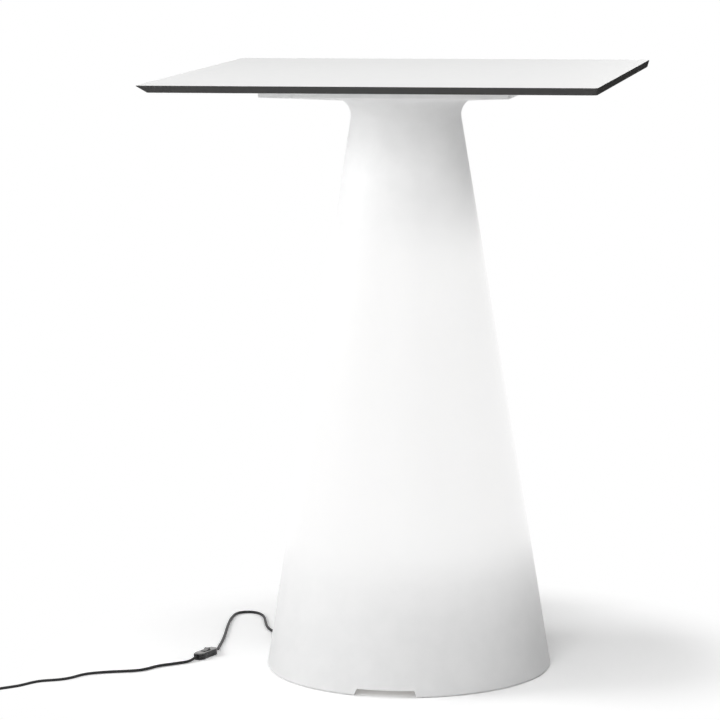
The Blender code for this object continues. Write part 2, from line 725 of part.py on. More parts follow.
def build_lamp(looks):
    """The mast on its foot, its four boards of chips, and the diffuser round them."""
    shape = new_shape()
    add_turned(shape, ((FOOT_RADIUS, SEAT), (FOOT_RADIUS, FOOT_TOP)))
    foot = add_object("mast_foot", shape, looks["aluminium"])
    spigot = new_shape()
    side = MAST_SIDE - 2 * (MAST_WALL + GAP)
    add_prism(spigot, rectangle(side, side), FOOT_TOP - FOOT_THICK / 2, FOOT_TOP + SPIGOT_LENGTH)
    combine(foot, add_helper("foot_spigot", spigot), "UNION")
    cuts = new_shape()
    low, high = SEAT - OVERRUN, FOOT_TOP + OVERRUN
    add_holes(cuts, FOOT_SCREW_PLACES, FOOT_SCREW_RADIUS + GAP, low, high)
    combine(foot, add_helper("foot_holes", cuts), "DIFFERENCE")
    root = FOOT_TOP + GAP
    screw = new_shape()
    length = root - BALLAST_TOP + FOOT_SCREW_DEPTH
    add_screw(screw, FOOT_SCREW_RADIUS, FOOT_SCREW_HEAD_RADIUS, FOOT_SCREW_HEAD, length)
    copies("foot_screw", screw, looks["steel"], FOOT_SCREW_PLACES, root, math.pi)

    shape = new_shape()
    outer = rectangle(MAST_SIDE, MAST_SIDE)
    inner = rectangle(MAST_SIDE - 2 * MAST_WALL, MAST_SIDE - 2 * MAST_WALL)
    rings = [level(outer, MAST_BOTTOM), level(outer, MAST_TOP)]
    rings += [level(inner, MAST_TOP), level(inner, MAST_BOTTOM)]
    add_loft(shape, rings, closed=True)
    add_object("lamp_mast", shape, looks["aluminium"])
    build_boards(looks)

    shape = new_shape()
    bore = DIFFUSER_RADIUS - DIFFUSER_WALL
    low, high = CAP_SCREEN + GAP, UPPER_CAP - GAP
    ring = ((DIFFUSER_RADIUS, low), (DIFFUSER_RADIUS, high), (bore, high), (bore, low))
    add_turned(shape, ring, closed=True)
    add_object("diffuser_tube", shape, looks["opal"])
    cup = DIFFUSER_RADIUS + GAP
    for name, floor, way in (("lower_cap", MAST_BOTTOM, 1), ("upper_cap", UPPER_CAP + CAP_FLOOR, -1)):
        inside = floor + way * CAP_FLOOR
        lip = floor + way * CAP_HEIGHT
        shape = new_shape()
        add_turned(shape, ((CAP_RADIUS, floor), (CAP_RADIUS, lip), (cup, lip), (cup, inside)))
        cap = add_object(f"diffuser_{name}", shape, looks["white"])
        if way > 0:
            hole = new_shape()
            side = MAST_SIDE + 2 * GAP
            add_prism(hole, rectangle(side, side), floor - OVERRUN, inside + OVERRUN)
            combine(cap, add_helper("mast_hole", hole), "DIFFERENCE")


def build_boards(looks):
    """One strip of chips on each side of the mast."""
    low, high = MAST_BOTTOM + BOARD_END_MARGIN, MAST_TOP - BOARD_END_MARGIN
    near = MAST_SIDE / 2 + GAP
    far = near + BOARD_THICK
    pitch = (high - low) / CHIPS
    corners = ((near, low), (far, low))
    for i in range(CHIPS):
        middle = low + (i + 1 / 2) * pitch
        below, above = middle - CHIP_LENGTH / 2, middle + CHIP_LENGTH / 2
        proud = far + CHIP_HEIGHT
        corners += ((far, below), (proud, below), (proud, above), (far, above))
    corners += ((far, high), (near, high))
    made = new_shape()
    rings = []
    for y in (-BOARD_WIDTH / 2, BOARD_WIDTH / 2):
        rings.append([Vector((x, y, z)) for x, z in corners])
    add_loft(made, rings)
    for i in range(4):
        board = add_object(f"led_board_{i + 1}", made, looks["circuit"])
        board.rotation_euler.z = i * math.pi / 2
        made = board.data


# Driver, whose length runs along Y
DRIVER_TOP = SEAT + DRIVER_HEIGHT - DRIVER_LID_THICK - GAP
DRIVER_FLOOR = SEAT + DRIVER_WALL
DRIVER_LID_LOW = DRIVER_TOP + GAP
BOARD_SEAT = DRIVER_FLOOR + GAP
PART_SEAT = BOARD_SEAT + DRIVER_BOARD_THICK + GAP


def build_driver(looks):
    """The driver's case, lid, board and parts."""
    frame = add_frame("driver_place", (DRIVER_OFFSET, 0, 0), 0)
    inner_width = DRIVER_WIDTH - 2 * DRIVER_WALL
    inner_length = DRIVER_LENGTH - 2 * DRIVER_WALL
    outer = rectangle(DRIVER_WIDTH, DRIVER_LENGTH)
    inner = rectangle(inner_width, inner_length)
    shape = new_shape()
    rings = [level(outer, SEAT), level(outer, DRIVER_TOP)]
    rings += [level(inner, DRIVER_TOP), level(inner, DRIVER_FLOOR)]
    add_loft(shape, rings)
    case = add_object("driver_case", shape, looks["aluminium"], parent=frame)
    post_x = (inner_width - DRIVER_PILLAR) / 2
    post_y = (inner_length - DRIVER_PILLAR) / 2
    posts = ((post_x, post_y), (-post_x, -post_y))
    bite = DRIVER_WALL / 2
    block = rectangle(DRIVER_PILLAR + bite, DRIVER_PILLAR + bite)
    solid = new_shape()
    for x, y in posts:
        place = shift(x + math.copysign(bite / 2, x), y + math.copysign(bite / 2, y))
        add_prism(solid, block, DRIVER_FLOOR - bite, DRIVER_TOP - GAP, place)
    combine(case, add_helper("case_posts", solid, frame), "UNION")
    cuts = new_shape()
    hole = DRIVER_SCREW_RADIUS + GAP
    low = DRIVER_TOP - DRIVER_SCREW_DEPTH - GAP
    add_holes(cuts, posts, hole, low, DRIVER_TOP + OVERRUN)
    combine(case, add_helper("case_holes", cuts, frame), "DIFFERENCE")

    shape = new_shape()
    add_prism(shape, outer, DRIVER_LID_LOW, DRIVER_LID_LOW + DRIVER_LID_THICK)
    lid = add_object("driver_lid", shape, looks["aluminium"], parent=frame)
    cuts = new_shape()
    add_holes(cuts, posts, hole, DRIVER_TOP - OVERRUN, DRIVER_LID_LOW + DRIVER_LID_THICK + OVERRUN)
    combine(lid, add_helper("lid_holes", cuts, frame), "DIFFERENCE")
    root = DRIVER_LID_LOW + DRIVER_LID_THICK + GAP
    screw = new_shape()
    length = root - DRIVER_TOP + DRIVER_SCREW_DEPTH
    head = DRIVER_SCREW_HEAD
    add_screw(screw, DRIVER_SCREW_RADIUS, DRIVER_SCREW_HEAD_RADIUS, head, length)
    places = [(x + DRIVER_OFFSET, y) for x, y in posts]
    copies("driver_screw", screw, looks["steel"], places, root, math.pi)

    board_width = inner_width - 2 * DRIVER_BOARD_CLEARANCE
    board_length = inner_length - 2 * (DRIVER_PILLAR + DRIVER_BOARD_CLEARANCE)
    shape = new_shape()
    top = BOARD_SEAT + DRIVER_BOARD_THICK
    add_prism(shape, rectangle(board_width, board_length), BOARD_SEAT, top)
    add_object("driver_board", shape, looks["circuit"], parent=frame)
    shape = new_shape()
    middle = shift(y=TRANSFORMER_FROM_MIDDLE)
    core = rectangle(TRANSFORMER_SIDE, TRANSFORMER_SIDE)
    add_prism(shape, core, PART_SEAT, PART_SEAT + TRANSFORMER_HEIGHT, middle)
    add_object("driver_transformer", shape, looks["ferrite"], parent=frame)
    shape = new_shape()
    can = ((CAPACITOR_RADIUS, PART_SEAT), (CAPACITOR_RADIUS, PART_SEAT + CAPACITOR_HEIGHT))
    add_turned(shape, can, shift(y=-CAPACITOR_FROM_MIDDLE), SMALL_ROUND)
    add_object("driver_capacitor", shape, looks["black"], parent=frame)


def build_terminal_block(looks):
    """The block where the mains lead meets the driver's lead, with two screw wells."""
    frame = add_frame("block_place", BLOCK_OUT * EXIT_WAY, EXIT_ANGLE)
    shape = new_shape()
    add_prism(shape, rectangle(BLOCK_WIDTH, BLOCK_LENGTH), SEAT, SEAT + BLOCK_HEIGHT)
    block = add_object("terminal_block", shape, looks["white"], parent=frame)
    wells = new_shape()
    places = ((0, -BLOCK_SCREW_SPACING), (0, BLOCK_SCREW_SPACING))
    low = SEAT + BLOCK_HEIGHT - BLOCK_SCREW_DEPTH
    add_holes(wells, places, BLOCK_SCREW_RADIUS, low, SEAT + BLOCK_HEIGHT + OVERRUN)
    combine(block, add_helper("block_wells", wells, frame), "DIFFERENCE")


def build_gland(looks):
    """The gland through the shell's pad, its nut inside, and the relief outside."""
    outer = PAD_OUTER + GAP
    shape = new_shape()
    profile = (
        (GLAND_FLANGE_RADIUS, outer + GLAND_FLANGE),
        (GLAND_FLANGE_RADIUS, outer),
        (GLAND_THREAD_RADIUS, outer),
        (GLAND_THREAD_RADIUS, GLAND_END),
        (CORD_BORE, GLAND_END),
        (CORD_BORE, outer + GLAND_FLANGE),
    )
    add_turned(shape, profile, EXIT_AXIS, closed=True)
    add_object("gland_body", shape, looks["black"])
    shape = new_shape()
    face = PAD_INNER - GAP
    hexagon = ((GLAND_NUT_RADIUS, face - GLAND_NUT), (GLAND_NUT_RADIUS, face))
    add_turned(shape, hexagon, EXIT_AXIS, sides=6)
    nut = add_object("gland_nut", shape, looks["black"])
    thread = new_shape()
    bore = GLAND_THREAD_RADIUS + GAP
    cutter = ((bore, face - GLAND_NUT - OVERRUN), (bore, face + OVERRUN))
    add_turned(thread, cutter, EXIT_AXIS)
    combine(nut, add_helper("nut_bore", thread), "DIFFERENCE")
    shape = new_shape()
    profile = (
        (CORD_BORE, RELIEF_START),
        (RELIEF_BASE_RADIUS, RELIEF_START),
        (RELIEF_BASE_RADIUS, RELIEF_START + RELIEF_LENGTH * RELIEF_COLLAR_SHARE),
        (RELIEF_TIP_RADIUS, RELIEF_TIP),
        (CORD_BORE, RELIEF_TIP),
    )
    add_turned(shape, profile, EXIT_AXIS, closed=True)
    add_object("strain_relief", shape, looks["rubber"])


def fine_curve(points):
    """Points close together on a smooth curve through the given ones, natural at its ends."""
    knots = np.array([tuple(p) for p in points])
    steps = np.linalg.norm(np.diff(knots, axis=0), axis=1)
    count = len(knots)
    system = np.eye(count)
    pull = np.zeros_like(knots)
    for i in range(1, count - 1):
        before, after = steps[i - 1], steps[i]
        system[i, i - 1 : i + 2] = before, 2 * (before + after), after
        rise = (knots[i + 1] - knots[i]) / after - (knots[i] - knots[i - 1]) / before
        pull[i] = 6 * rise
    bend = np.linalg.solve(system, pull)
    fine = []
    for i, step in enumerate(steps):
        for share in np.arange(FINE_STEPS) / FINE_STEPS:
            rest = 1 - share
            straight = knots[i] * rest + knots[i + 1] * share
            bow = bend[i] * (rest**3 - rest) + bend[i + 1] * (share**3 - share)
            fine.append(straight + bow * step**2 / 6)
    fine.append(knots[-1])
    return np.array(fine)


def route_points(points, step=ROUTE_STEP):
    """Points at equal steps along the smooth curve through a route."""
    fine = fine_curve(points)
    walked = np.insert(np.cumsum(np.linalg.norm(np.diff(fine, axis=0), axis=1)), 0, 0.0)
    marks = np.linspace(0.0, walked[-1], round(walked[-1] / step) + 1)
    return np.column_stack([np.interp(marks, walked, fine[:, axis]) for axis in range(3)])


def tube_points(points):
    """Points of a tube along a route, whose first and last stretches stay straight."""
    return [points[0], *route_points(points[1:-1]), points[-1]]


def tightest_bend(points):
    """Least radius of a circle through points two diameters apart on a route."""
    spots = route_points(points, CORD_DIAMETER)
    radii = []
    for a, b, c in zip(spots, spots[2:], spots[4:]):
        area = np.linalg.norm(np.cross(b - a, c - a))
        sides = np.linalg.norm(b - a) * np.linalg.norm(c - b) * np.linalg.norm(a - c)
        radii.append(sides / max(2 * area, GAP**2))
    return min(radii)


def add_tube(name, points, diameter, look, resolution=TUBE_RESOLUTION):
    """A cord along points, as a curve with a round section."""
    curve = bpy.data.curves.new(name, "CURVE")
    curve.dimensions = "3D"
    curve.bevel_depth = diameter / 2
    curve.bevel_resolution = resolution
    curve.use_fill_caps = True
    curve.materials.append(look)
    line = curve.splines.new("POLY")
    line.points.add(len(points) - 1)
    for point, place in zip(line.points, points):
        point.co[:3] = place
    obj = bpy.data.objects.new(name, curve)
    bpy.context.collection.objects.link(obj)
    return obj


def route_length(points):
    """Length of a route, in metres."""
    return float(np.linalg.norm(np.diff(fine_curve(points), axis=0), axis=1).sum())


BLOCK_OUT = BALLAST_RADIUS - BLOCK_INSET
BLOCK_FACE = BLOCK_OUT + BLOCK_WIDTH / 2 + GAP
BLOCK_BACK = BLOCK_OUT - BLOCK_WIDTH / 2 - GAP
LEAD_LIES = SEAT + LEAD_DIAMETER / 2 + 2 * GAP
LEAD_STRAIGHT = 2 * LEAD_DIAMETER  # out of a housing
DRIVER_END = DRIVER_LENGTH / 2 + GAP
DRIVER_INLET = DRIVER_FLOOR + LEAD_DIAMETER
INLET_SLACK_SHARES = (0.80, 0.59, 0.37, 0.16)  # of the way from the block to the gland
INLET_SLACK_ASIDE = (0.004, 0.0085, 0.0085, 0.003)
INLET_SLACK_HEIGHTS = (0.0325, 0.0305, 0.0305, 0.0322)
SUPPLY_ROUTE = ((-0.058, 0.050), (-0.042, 0.066), (-0.018, 0.078), (0.012, 0.086), (0.045, 0.0935))
SUPPLY_ROUTE += ((0.070, 0.0945), (0.085, 0.088))
LAMP_ROUTE = ((0.086, -0.086), (0.072, -0.096), (0.053, -0.101), (0.032, -0.098), (0.014, -0.087))


def build_leads(looks):
    """The leads inside the base: mains in, to the driver, and on to the lamp."""
    aside = turn_z(EXIT_ANGLE) @ Vector((0, 1, 0))
    up = Vector((0, 0, 1))

    def spot(out, over, height):
        return out * EXIT_WAY + over * aside + height * up

    inlet = [spot(RELIEF_TIP, 0, EXIT_HEIGHT), spot(GLAND_END, 0, EXIT_HEIGHT)]
    inlet.append(spot(GLAND_END - CORD_DIAMETER, 0, EXIT_HEIGHT))
    for share, over, height in zip(INLET_SLACK_SHARES, INLET_SLACK_ASIDE, INLET_SLACK_HEIGHTS):
        inlet.append(spot(BLOCK_FACE + share * (GLAND_END - BLOCK_FACE), over, height))
    inlet.append(spot(BLOCK_FACE + CORD_DIAMETER, 0, EXIT_HEIGHT))
    inlet.append(spot(BLOCK_FACE, 0, EXIT_HEIGHT))
    add_tube("inlet_lead", tube_points(inlet), CORD_DIAMETER, looks["cord"])

    supply = [spot(BLOCK_BACK, 0, EXIT_HEIGHT), spot(BLOCK_BACK - LEAD_STRAIGHT, 0, EXIT_HEIGHT)]
    supply += [Vector((x, y, LEAD_LIES)) for x, y in SUPPLY_ROUTE]
    supply.append(Vector((DRIVER_OFFSET, DRIVER_END + LEAD_STRAIGHT, DRIVER_INLET)))
    supply.append(Vector((DRIVER_OFFSET, DRIVER_END, DRIVER_INLET)))
    add_tube("supply_lead", tube_points(supply), LEAD_DIAMETER, looks["cord"])

    lamp = [Vector((DRIVER_OFFSET, -DRIVER_END, DRIVER_INLET))]
    lamp.append(Vector((DRIVER_OFFSET, -DRIVER_END - LEAD_STRAIGHT, DRIVER_INLET)))
    lamp += [Vector((x, y, LEAD_LIES)) for x, y in LAMP_ROUTE]
    entry = MAST_BOTTOM + CAP_HEIGHT / 2
    lamp.append(Vector((0, -FOOT_RADIUS - LEAD_DIAMETER, entry - LEAD_DIAMETER / 4)))
    lamp.append(Vector((0, -CAP_RADIUS - LEAD_DIAMETER, entry)))
    lamp.append(Vector((0, -CAP_RADIUS - GAP, entry)))
    add_tube("lamp_lead", tube_points(lamp), LEAD_DIAMETER, looks["cord"])


SWITCH_MATRIX = shift(*SWITCH_PLACE) @ turn_z(SWITCH_HEADING)
SWITCH_HALF = SWITCH_LENGTH / 2


def switch_spot(along):
    """A place on the cord's line through the switch, in world coordinates."""
    return SWITCH_MATRIX @ Vector((along, 0, CORD_HEIGHT_IN_SWITCH))


def switch_outline():
    """The switch's outline from above: waisted in the middle, and drawn in at its ends."""
    stations = [share * SWITCH_HALF for share in SWITCH_STATION_SHARES]
    taper = SWITCH_HALF - SWITCH_SHOULDER
    side = []
    for x in stations:
        if x <= SWITCH_SHOULDER:
            width = SWITCH_WAIST + (SWITCH_WIDTH - SWITCH_WAIST) * (x / SWITCH_SHOULDER) ** 2
        else:
            share = ((x - SWITCH_SHOULDER) / taper) ** SWITCH_TAPER_POWER
            width = SWITCH_WIDTH + (SWITCH_END_WIDTH - SWITCH_WIDTH) * share
        side.append((x, width / 2))
    upper = side + [(-x, y) for x, y in reversed(side[:-1])]
    return upper + [(-x, -y) for x, y in upper]


def switch_half(low, high, low_inset, high_inset):
    """A solid of the switch's outline, with its lower or upper edge drawn in."""
    outline = switch_outline()
    shape = new_shape()
    levels = {low: low_inset, low + low_inset: 0, high - high_inset: 0, high: high_inset}
    rings = []
    for height, inset in levels.items():
        along, across = 1 - inset / SWITCH_HALF, 1 - 2 * inset / SWITCH_WIDTH
        rings.append(level([(x * along, y * across) for x, y in outline], height))
    add_loft(shape, rings)
    return shape


def add_crossing(shape, radius, half, height):
    """Adds a cylinder that lies across the switch."""
    place = shift(z=height) @ Matrix.Rotation(math.pi / 2, 4, "X")
    add_turned(shape, ((radius, -half), (radius, half)), place, SMALL_ROUND)


def build_switch(looks):
    """The inline switch: two shells, screws, contact blade, pivot pin and rocker."""
    frame = add_frame("switch_place", (*SWITCH_PLACE, 0), SWITCH_HEADING)
    joint_low, joint_high = SWITCH_PARTING - GAP / 2, SWITCH_PARTING + GAP / 2
    lower_shape = switch_half(0, joint_low, SWITCH_EDGE, 0)
    lower = add_object("switch_lower_shell", lower_shape, looks["black"], parent=frame)
    upper_shape = switch_half(joint_high, SWITCH_HEIGHT, 0, SWITCH_EDGE)
    upper = add_object("switch_upper_shell", upper_shape, looks["black"], parent=frame)

    chamber = rectangle(SWITCH_CHAMBER, CHAMBER_WIDTH)
    roof = SWITCH_HEIGHT - SWITCH_WALL
    hollow = new_shape()
    add_prism(hollow, chamber, SWITCH_WALL, roof)
    hollow = add_helper("switch_hollow", hollow, frame)
    channel = new_shape()
    lying = Matrix.Rotation(math.pi / 2, 4, "Y")
    for way in (1, -1):
        ends = sorted((way * (SWITCH_CHAMBER / 2 - OVERRUN), way * (SWITCH_HALF + OVERRUN)))
        profile = ((CORD_BORE, ends[0]), (CORD_BORE, ends[1]))
        add_turned(channel, profile, shift(z=CORD_HEIGHT_IN_SWITCH) @ lying, ROUND)
    channel = add_helper("switch_channels", channel, frame)
    screw_place = (SWITCH_SCREW_ALONG, SWITCH_SCREW_ASIDE)
    screw_places = (screw_place, (-SWITCH_SCREW_ALONG, -SWITCH_SCREW_ASIDE))
    root = SWITCH_WALL - GAP
    bores = new_shape()
    add_holes(bores, screw_places, SWITCH_SCREW_RADIUS + GAP, 0, root + SWITCH_SCREW_LENGTH + GAP)
    bores = add_helper("switch_screw_bores", bores, frame)
    wells = new_shape()
    add_holes(wells, screw_places, SWITCH_SCREW_HEAD_RADIUS + GAP, -OVERRUN, SWITCH_WALL)
    wells = add_helper("switch_screw_wells", wells, frame)
    for shell in (lower, upper):
        combine(shell, hollow, "DIFFERENCE")
        combine(shell, channel, "DIFFERENCE")
        combine(shell, bores, "DIFFERENCE")
    combine(lower, wells, "DIFFERENCE")

    window = new_shape()
    length = 2 * (ROCKER_RADIUS + ROCKER_CLEARANCE)
    opening = rectangle(length, ROCKER_WIDTH + 2 * ROCKER_CLEARANCE)
    add_prism(window, opening, roof - OVERRUN, SWITCH_HEIGHT + OVERRUN)
    combine(upper, add_helper("rocker_window", window, frame), "DIFFERENCE")
    bore = new_shape()
    add_crossing(bore, PIVOT_RADIUS + GAP, PIVOT_LENGTH / 2 + GAP, PIVOT_HEIGHT)
    combine(upper, add_helper("pivot_bore", bore, frame), "DIFFERENCE")
    pin = new_shape()
    add_crossing(pin, PIVOT_RADIUS, PIVOT_LENGTH / 2, PIVOT_HEIGHT)
    add_object("switch_pivot_pin", pin, looks["steel"], parent=frame)

    screw = new_shape()
    head_radius, head = SWITCH_SCREW_HEAD_RADIUS, SWITCH_SCREW_HEAD
    add_screw(screw, SWITCH_SCREW_RADIUS, head_radius, head, SWITCH_SCREW_LENGTH)
    for i, (x, y) in enumerate(screw_places, 1):
        made = add_object(f"switch_screw_{i}", screw, looks["steel"], (x, y, root), frame)
        screw = made.data
    build_blade(looks, frame)
    build_rocker(looks, frame)


def build_blade(looks, frame):
    """The contact blade on the switch's floor, with a raised contact at each end."""
    low = SWITCH_WALL + GAP
    high = low + BLADE_THICK
    half = BLADE_LENGTH / 2
    tab = half - BLADE_TAB_LENGTH
    raised = high + BLADE_TAB
    right = ((half, low), (half, raised), (tab, raised), (tab, high))
    outline = right + tuple((-x, z) for x, z in reversed(right))
    shape = new_shape()
    side = BLADE_WIDTH / 2
    rings = [[Vector((x, y, z)) for x, z in outline] for y in (-side, side)]
    add_loft(shape, rings)
    add_object("switch_contact_blade", shape, looks["brass"], parent=frame)


def build_rocker(looks, frame):
    """The rocker, with its origin on its pivot. It rests pressed at the end away from the base."""
    sweep = ROCKER_HEEL_ANGLE - ROCKER_CORNER_ANGLE
    arc = [ROCKER_CORNER_ANGLE + sweep * i / CORNER_STEPS for i in range(CORNER_STEPS + 1)]
    right = [(ROCKER_RADIUS * math.cos(a), ROCKER_RADIUS * math.sin(a)) for a in arc]
    ridge = right[0][1] - right[0][0] * math.tan(ROCKER_TILT)
    outline = [(0, ridge)] + right + [(-x, z) for x, z in reversed(right)]
    shape = new_shape()
    side = ROCKER_WIDTH / 2
    rings = [[Vector((x, y, z)) for x, z in outline] for y in (-side, side)]
    add_loft(shape, rings)
    rocker = add_object("switch_rocker", shape, looks["black"], (0, 0, PIVOT_HEIGHT), frame)
    rocker.rotation_euler.y = -ROCKER_TILT
    bore = new_shape()
    add_crossing(bore, PIVOT_RADIUS + GAP, ROCKER_WIDTH / 2 + OVERRUN, 0)
    bore = add_helper("rocker_bore", bore, frame)
    bore.location.z = PIVOT_HEIGHT
    combine(rocker, bore, "DIFFERENCE")


LIFTED = LIES + COIL_LIFT
LEAD_IN = Vector(ROUTE_TO_COIL[-1]) - Vector(ROUTE_TO_COIL[-2])
LEAD_IN.z = 0
ALONG = LEAD_IN.normalized()
ASIDE = Vector((ALONG.y, -ALONG.x, 0))
COIL_START = Vector((ROUTE_TO_COIL[-1][0], ROUTE_TO_COIL[-1][1], 0))
COIL_MIDDLE = COIL_START + (CORD_DIAMETER + GAP) * ALONG + COIL_OUTER * ASIDE
COIL_TOP = LIFTED + (COIL_LAYERS - 1) * COIL_PITCH


def coil_spot(along, aside, height):
    """A place in the coil's frame, in world coordinates."""
    return COIL_MIDDLE + along * ALONG + aside * ASIDE + Vector((0, 0, height))


def coil_points():
    """The coil's one tube: it spirals in and out again, a layer higher after each turn back."""
    points = [coil_spot(-CORD_DIAMETER, -COIL_OUTER, LIFTED)]
    total = COIL_LAYERS * COIL_TURNS
    for step in range(total * COIL_POINTS + 1):
        turns = step / COIL_POINTS
        inward = abs((turns + COIL_TURNS) % (2 * COIL_TURNS) - COIL_TURNS)
        radius = COIL_OUTER - COIL_PITCH * inward
        climbed = 0.0
        for layer in range(1, COIL_LAYERS):
            share = (turns - layer * COIL_TURNS) / COIL_CLIMB + 1 / 2
            climbed += min(max(share, 0.0), 1.0)
        angle = 2 * math.pi * turns
        height = LIFTED + climbed * COIL_PITCH
        points.append(coil_spot(radius * math.sin(angle), -radius * math.cos(angle), height))
    points.append(coil_spot(CORD_DIAMETER, -COIL_OUTER, COIL_TOP))
    return points


def least_gap(points):
    """Least distance between the cord's surfaces where the coil passes itself."""
    spots = np.array([tuple(p) for p in points])
    apart = COIL_POINTS // 2
    least = math.inf
    for i in range(len(spots) - 1):
        middle = (spots[i] + spots[i + 1]) / 2
        others = spots[i + apart :]
        if len(others) < 2:
            break
        start, run = others[:-1], np.diff(others, axis=0)
        for place in (spots[i], middle):
            share = ((place - start) * run).sum(axis=1) / (run * run).sum(axis=1)
            nearest = start + np.clip(share, 0.0, 1.0)[:, None] * run
            least = min(least, float(np.linalg.norm(nearest - place, axis=1).min()))
    return least - CORD_DIAMETER


def build_cords(looks):
    """The free cord: to the switch, on to the coil, the coil itself, and on to the plug."""
    exit_spot = RELIEF_TIP * EXIT_WAY + Vector((0, 0, EXIT_HEIGHT))
    first = [exit_spot + GAP * EXIT_WAY, exit_spot + 2 * CORD_DIAMETER * EXIT_WAY]
    grip = SWITCH_HALF - CORD_GRIP
    clear = SWITCH_HALF + CORD_DIAMETER
    to_switch = [*first, *map(Vector, ROUTE_TO_SWITCH), switch_spot(clear), switch_spot(grip)]
    to_coil = [switch_spot(-grip), switch_spot(-clear), *map(Vector, ROUTE_TO_COIL)]
    coil = coil_points()
    tail = [coil[-1] + GAP * ALONG, *(coil_spot(*place) for place in TAIL_ROUTE)]
    plug_way = math.cos(PLUG_HEADING) * ALONG + math.sin(PLUG_HEADING) * ASIDE
    tip = coil_spot(*PLUG_PLACE, PLUG_THICK / 2)
    tail += [tip - 2 * CORD_DIAMETER * plug_way, tip - GAP * plug_way]
    total = SWITCH_LENGTH - 2 * CORD_GRIP
    for name, route in (
        ("cord_base_to_switch", to_switch),
        ("cord_switch_to_coil", to_coil),
        ("cord_coil_to_plug", tail),
    ):
        add_tube(name, tube_points(route), CORD_DIAMETER, looks["cord"])
        total += route_length(route)
        print(f"{name}: {route_length(route):.3f} m, tightest bend {tightest_bend(route):.4f} m")
    add_tube("cord_coil", coil, CORD_DIAMETER, looks["cord"], COIL_RESOLUTION)
    length = sum((b - a).length for a, b in zip(coil, coil[1:]))
    print(f"cord_coil: {length:.3f} m, least gap to itself {least_gap(coil):.5f} m")
    print(f"whole cord: {total + length:.3f} m")
    build_tie(looks)
    build_plug(looks, tip, plug_way)


def build_tie(looks):
    """The tie round all turns of the coil, opposite where the cord comes in."""
    bundle = COIL_OUTER - COIL_PITCH * COIL_TURNS / 2
    clear = CORD_DIAMETER + 2 * TIE_CLEARANCE
    width = COIL_PITCH * (COIL_TURNS - 1) + clear
    height = COIL_PITCH * (COIL_LAYERS - 1) + clear
    inner = rounded_rectangle(width, height, TIE_CORNER_RADIUS)
    grown = 2 * TIE_THICK
    outer = rounded_rectangle(width + grown, height + grown, TIE_CORNER_RADIUS + TIE_THICK)
    middle = LIFTED + (COIL_TOP - LIFTED) / 2
    half = TIE_WIDTH / 2
    rings = []
    for outline, along in ((outer, -half), (outer, half), (inner, half), (inner, -half)):
        rings.append([coil_spot(along, bundle + x, middle + z) for x, z in outline])
    shape = new_shape()
    add_loft(shape, rings, closed=True)
    tie = add_object("coil_tie", shape, looks["black"])
    head = new_shape()
    face = bundle + width / 2 + TIE_THICK / 2
    corners = []
    for along in (-half, half):
        low, high = middle - TIE_HEAD_HEIGHT / 2, middle + TIE_HEAD_HEIGHT / 2
        box = ((face, low), (face + TIE_HEAD, low), (face + TIE_HEAD, high), (face, high))
        corners.append([coil_spot(along * TIE_HEAD_SHARE, x, z) for x, z in box])
    add_loft(head, corners)
    combine(tie, add_helper("tie_head", head), "UNION")


def build_plug(looks, tip, way):
    """The flat two-pin plug, moulded onto the cord with its relief."""
    frame = add_frame("plug_place", tip, math.atan2(way.y, way.x))
    lying = Matrix.Rotation(math.pi / 2, 4, "Y") @ turn_z(math.pi / 2)
    shoulder = PLUG_RELIEF + PLUG_BODY * PLUG_SHOULDER_SHARE
    front = PLUG_RELIEF + PLUG_BODY
    neck = 2 * PLUG_RELIEF_RADIUS
    sections = (
        (0, neck, neck),
        (PLUG_RELIEF, neck + PLUG_EDGE, neck + PLUG_EDGE),
        ((PLUG_RELIEF + shoulder) / 2, (PLUG_WIDTH + 2 * neck) / 3, PLUG_THICK - PLUG_EDGE / 2),
        (shoulder, PLUG_WIDTH - PLUG_EDGE, PLUG_THICK),
        (front - PLUG_EDGE, PLUG_WIDTH, PLUG_THICK),
        (front, PLUG_WIDTH - PLUG_EDGE, PLUG_THICK - PLUG_EDGE / 2),
    )
    rings = []
    for along, width, thick in sections:
        corner = min(width, thick) * PLUG_CORNER_SHARE
        rings.append(level(rounded_rectangle(width, thick, corner), along, lying))
    shape = new_shape()
    add_loft(shape, rings)
    body = add_object("plug_body", shape, looks["black"], parent=frame)
    sockets = new_shape()
    for y in (-PIN_SPACING / 2, PIN_SPACING / 2):
        bore = PIN_RADIUS + GAP
        profile = ((bore, front - PIN_BITE - GAP), (bore, front + OVERRUN))
        add_turned(sockets, profile, shift(y=y) @ lying, SMALL_ROUND)
    combine(body, add_helper("pin_sockets", sockets, frame), "DIFFERENCE")
    pin = new_shape()
    back = front - PIN_BITE
    end = front + PIN_LENGTH
    nose = PIN_RADIUS / 2
    add_turned(pin, ((PIN_RADIUS, back), (PIN_RADIUS, end - nose), (nose, end)), lying, SMALL_ROUND)
    for i, y in enumerate((-PIN_SPACING / 2, PIN_SPACING / 2), 1):
        made = add_object(f"plug_pin_{i}", pin, looks["nickel"], (0, y, 0), frame)
        pin = made.data


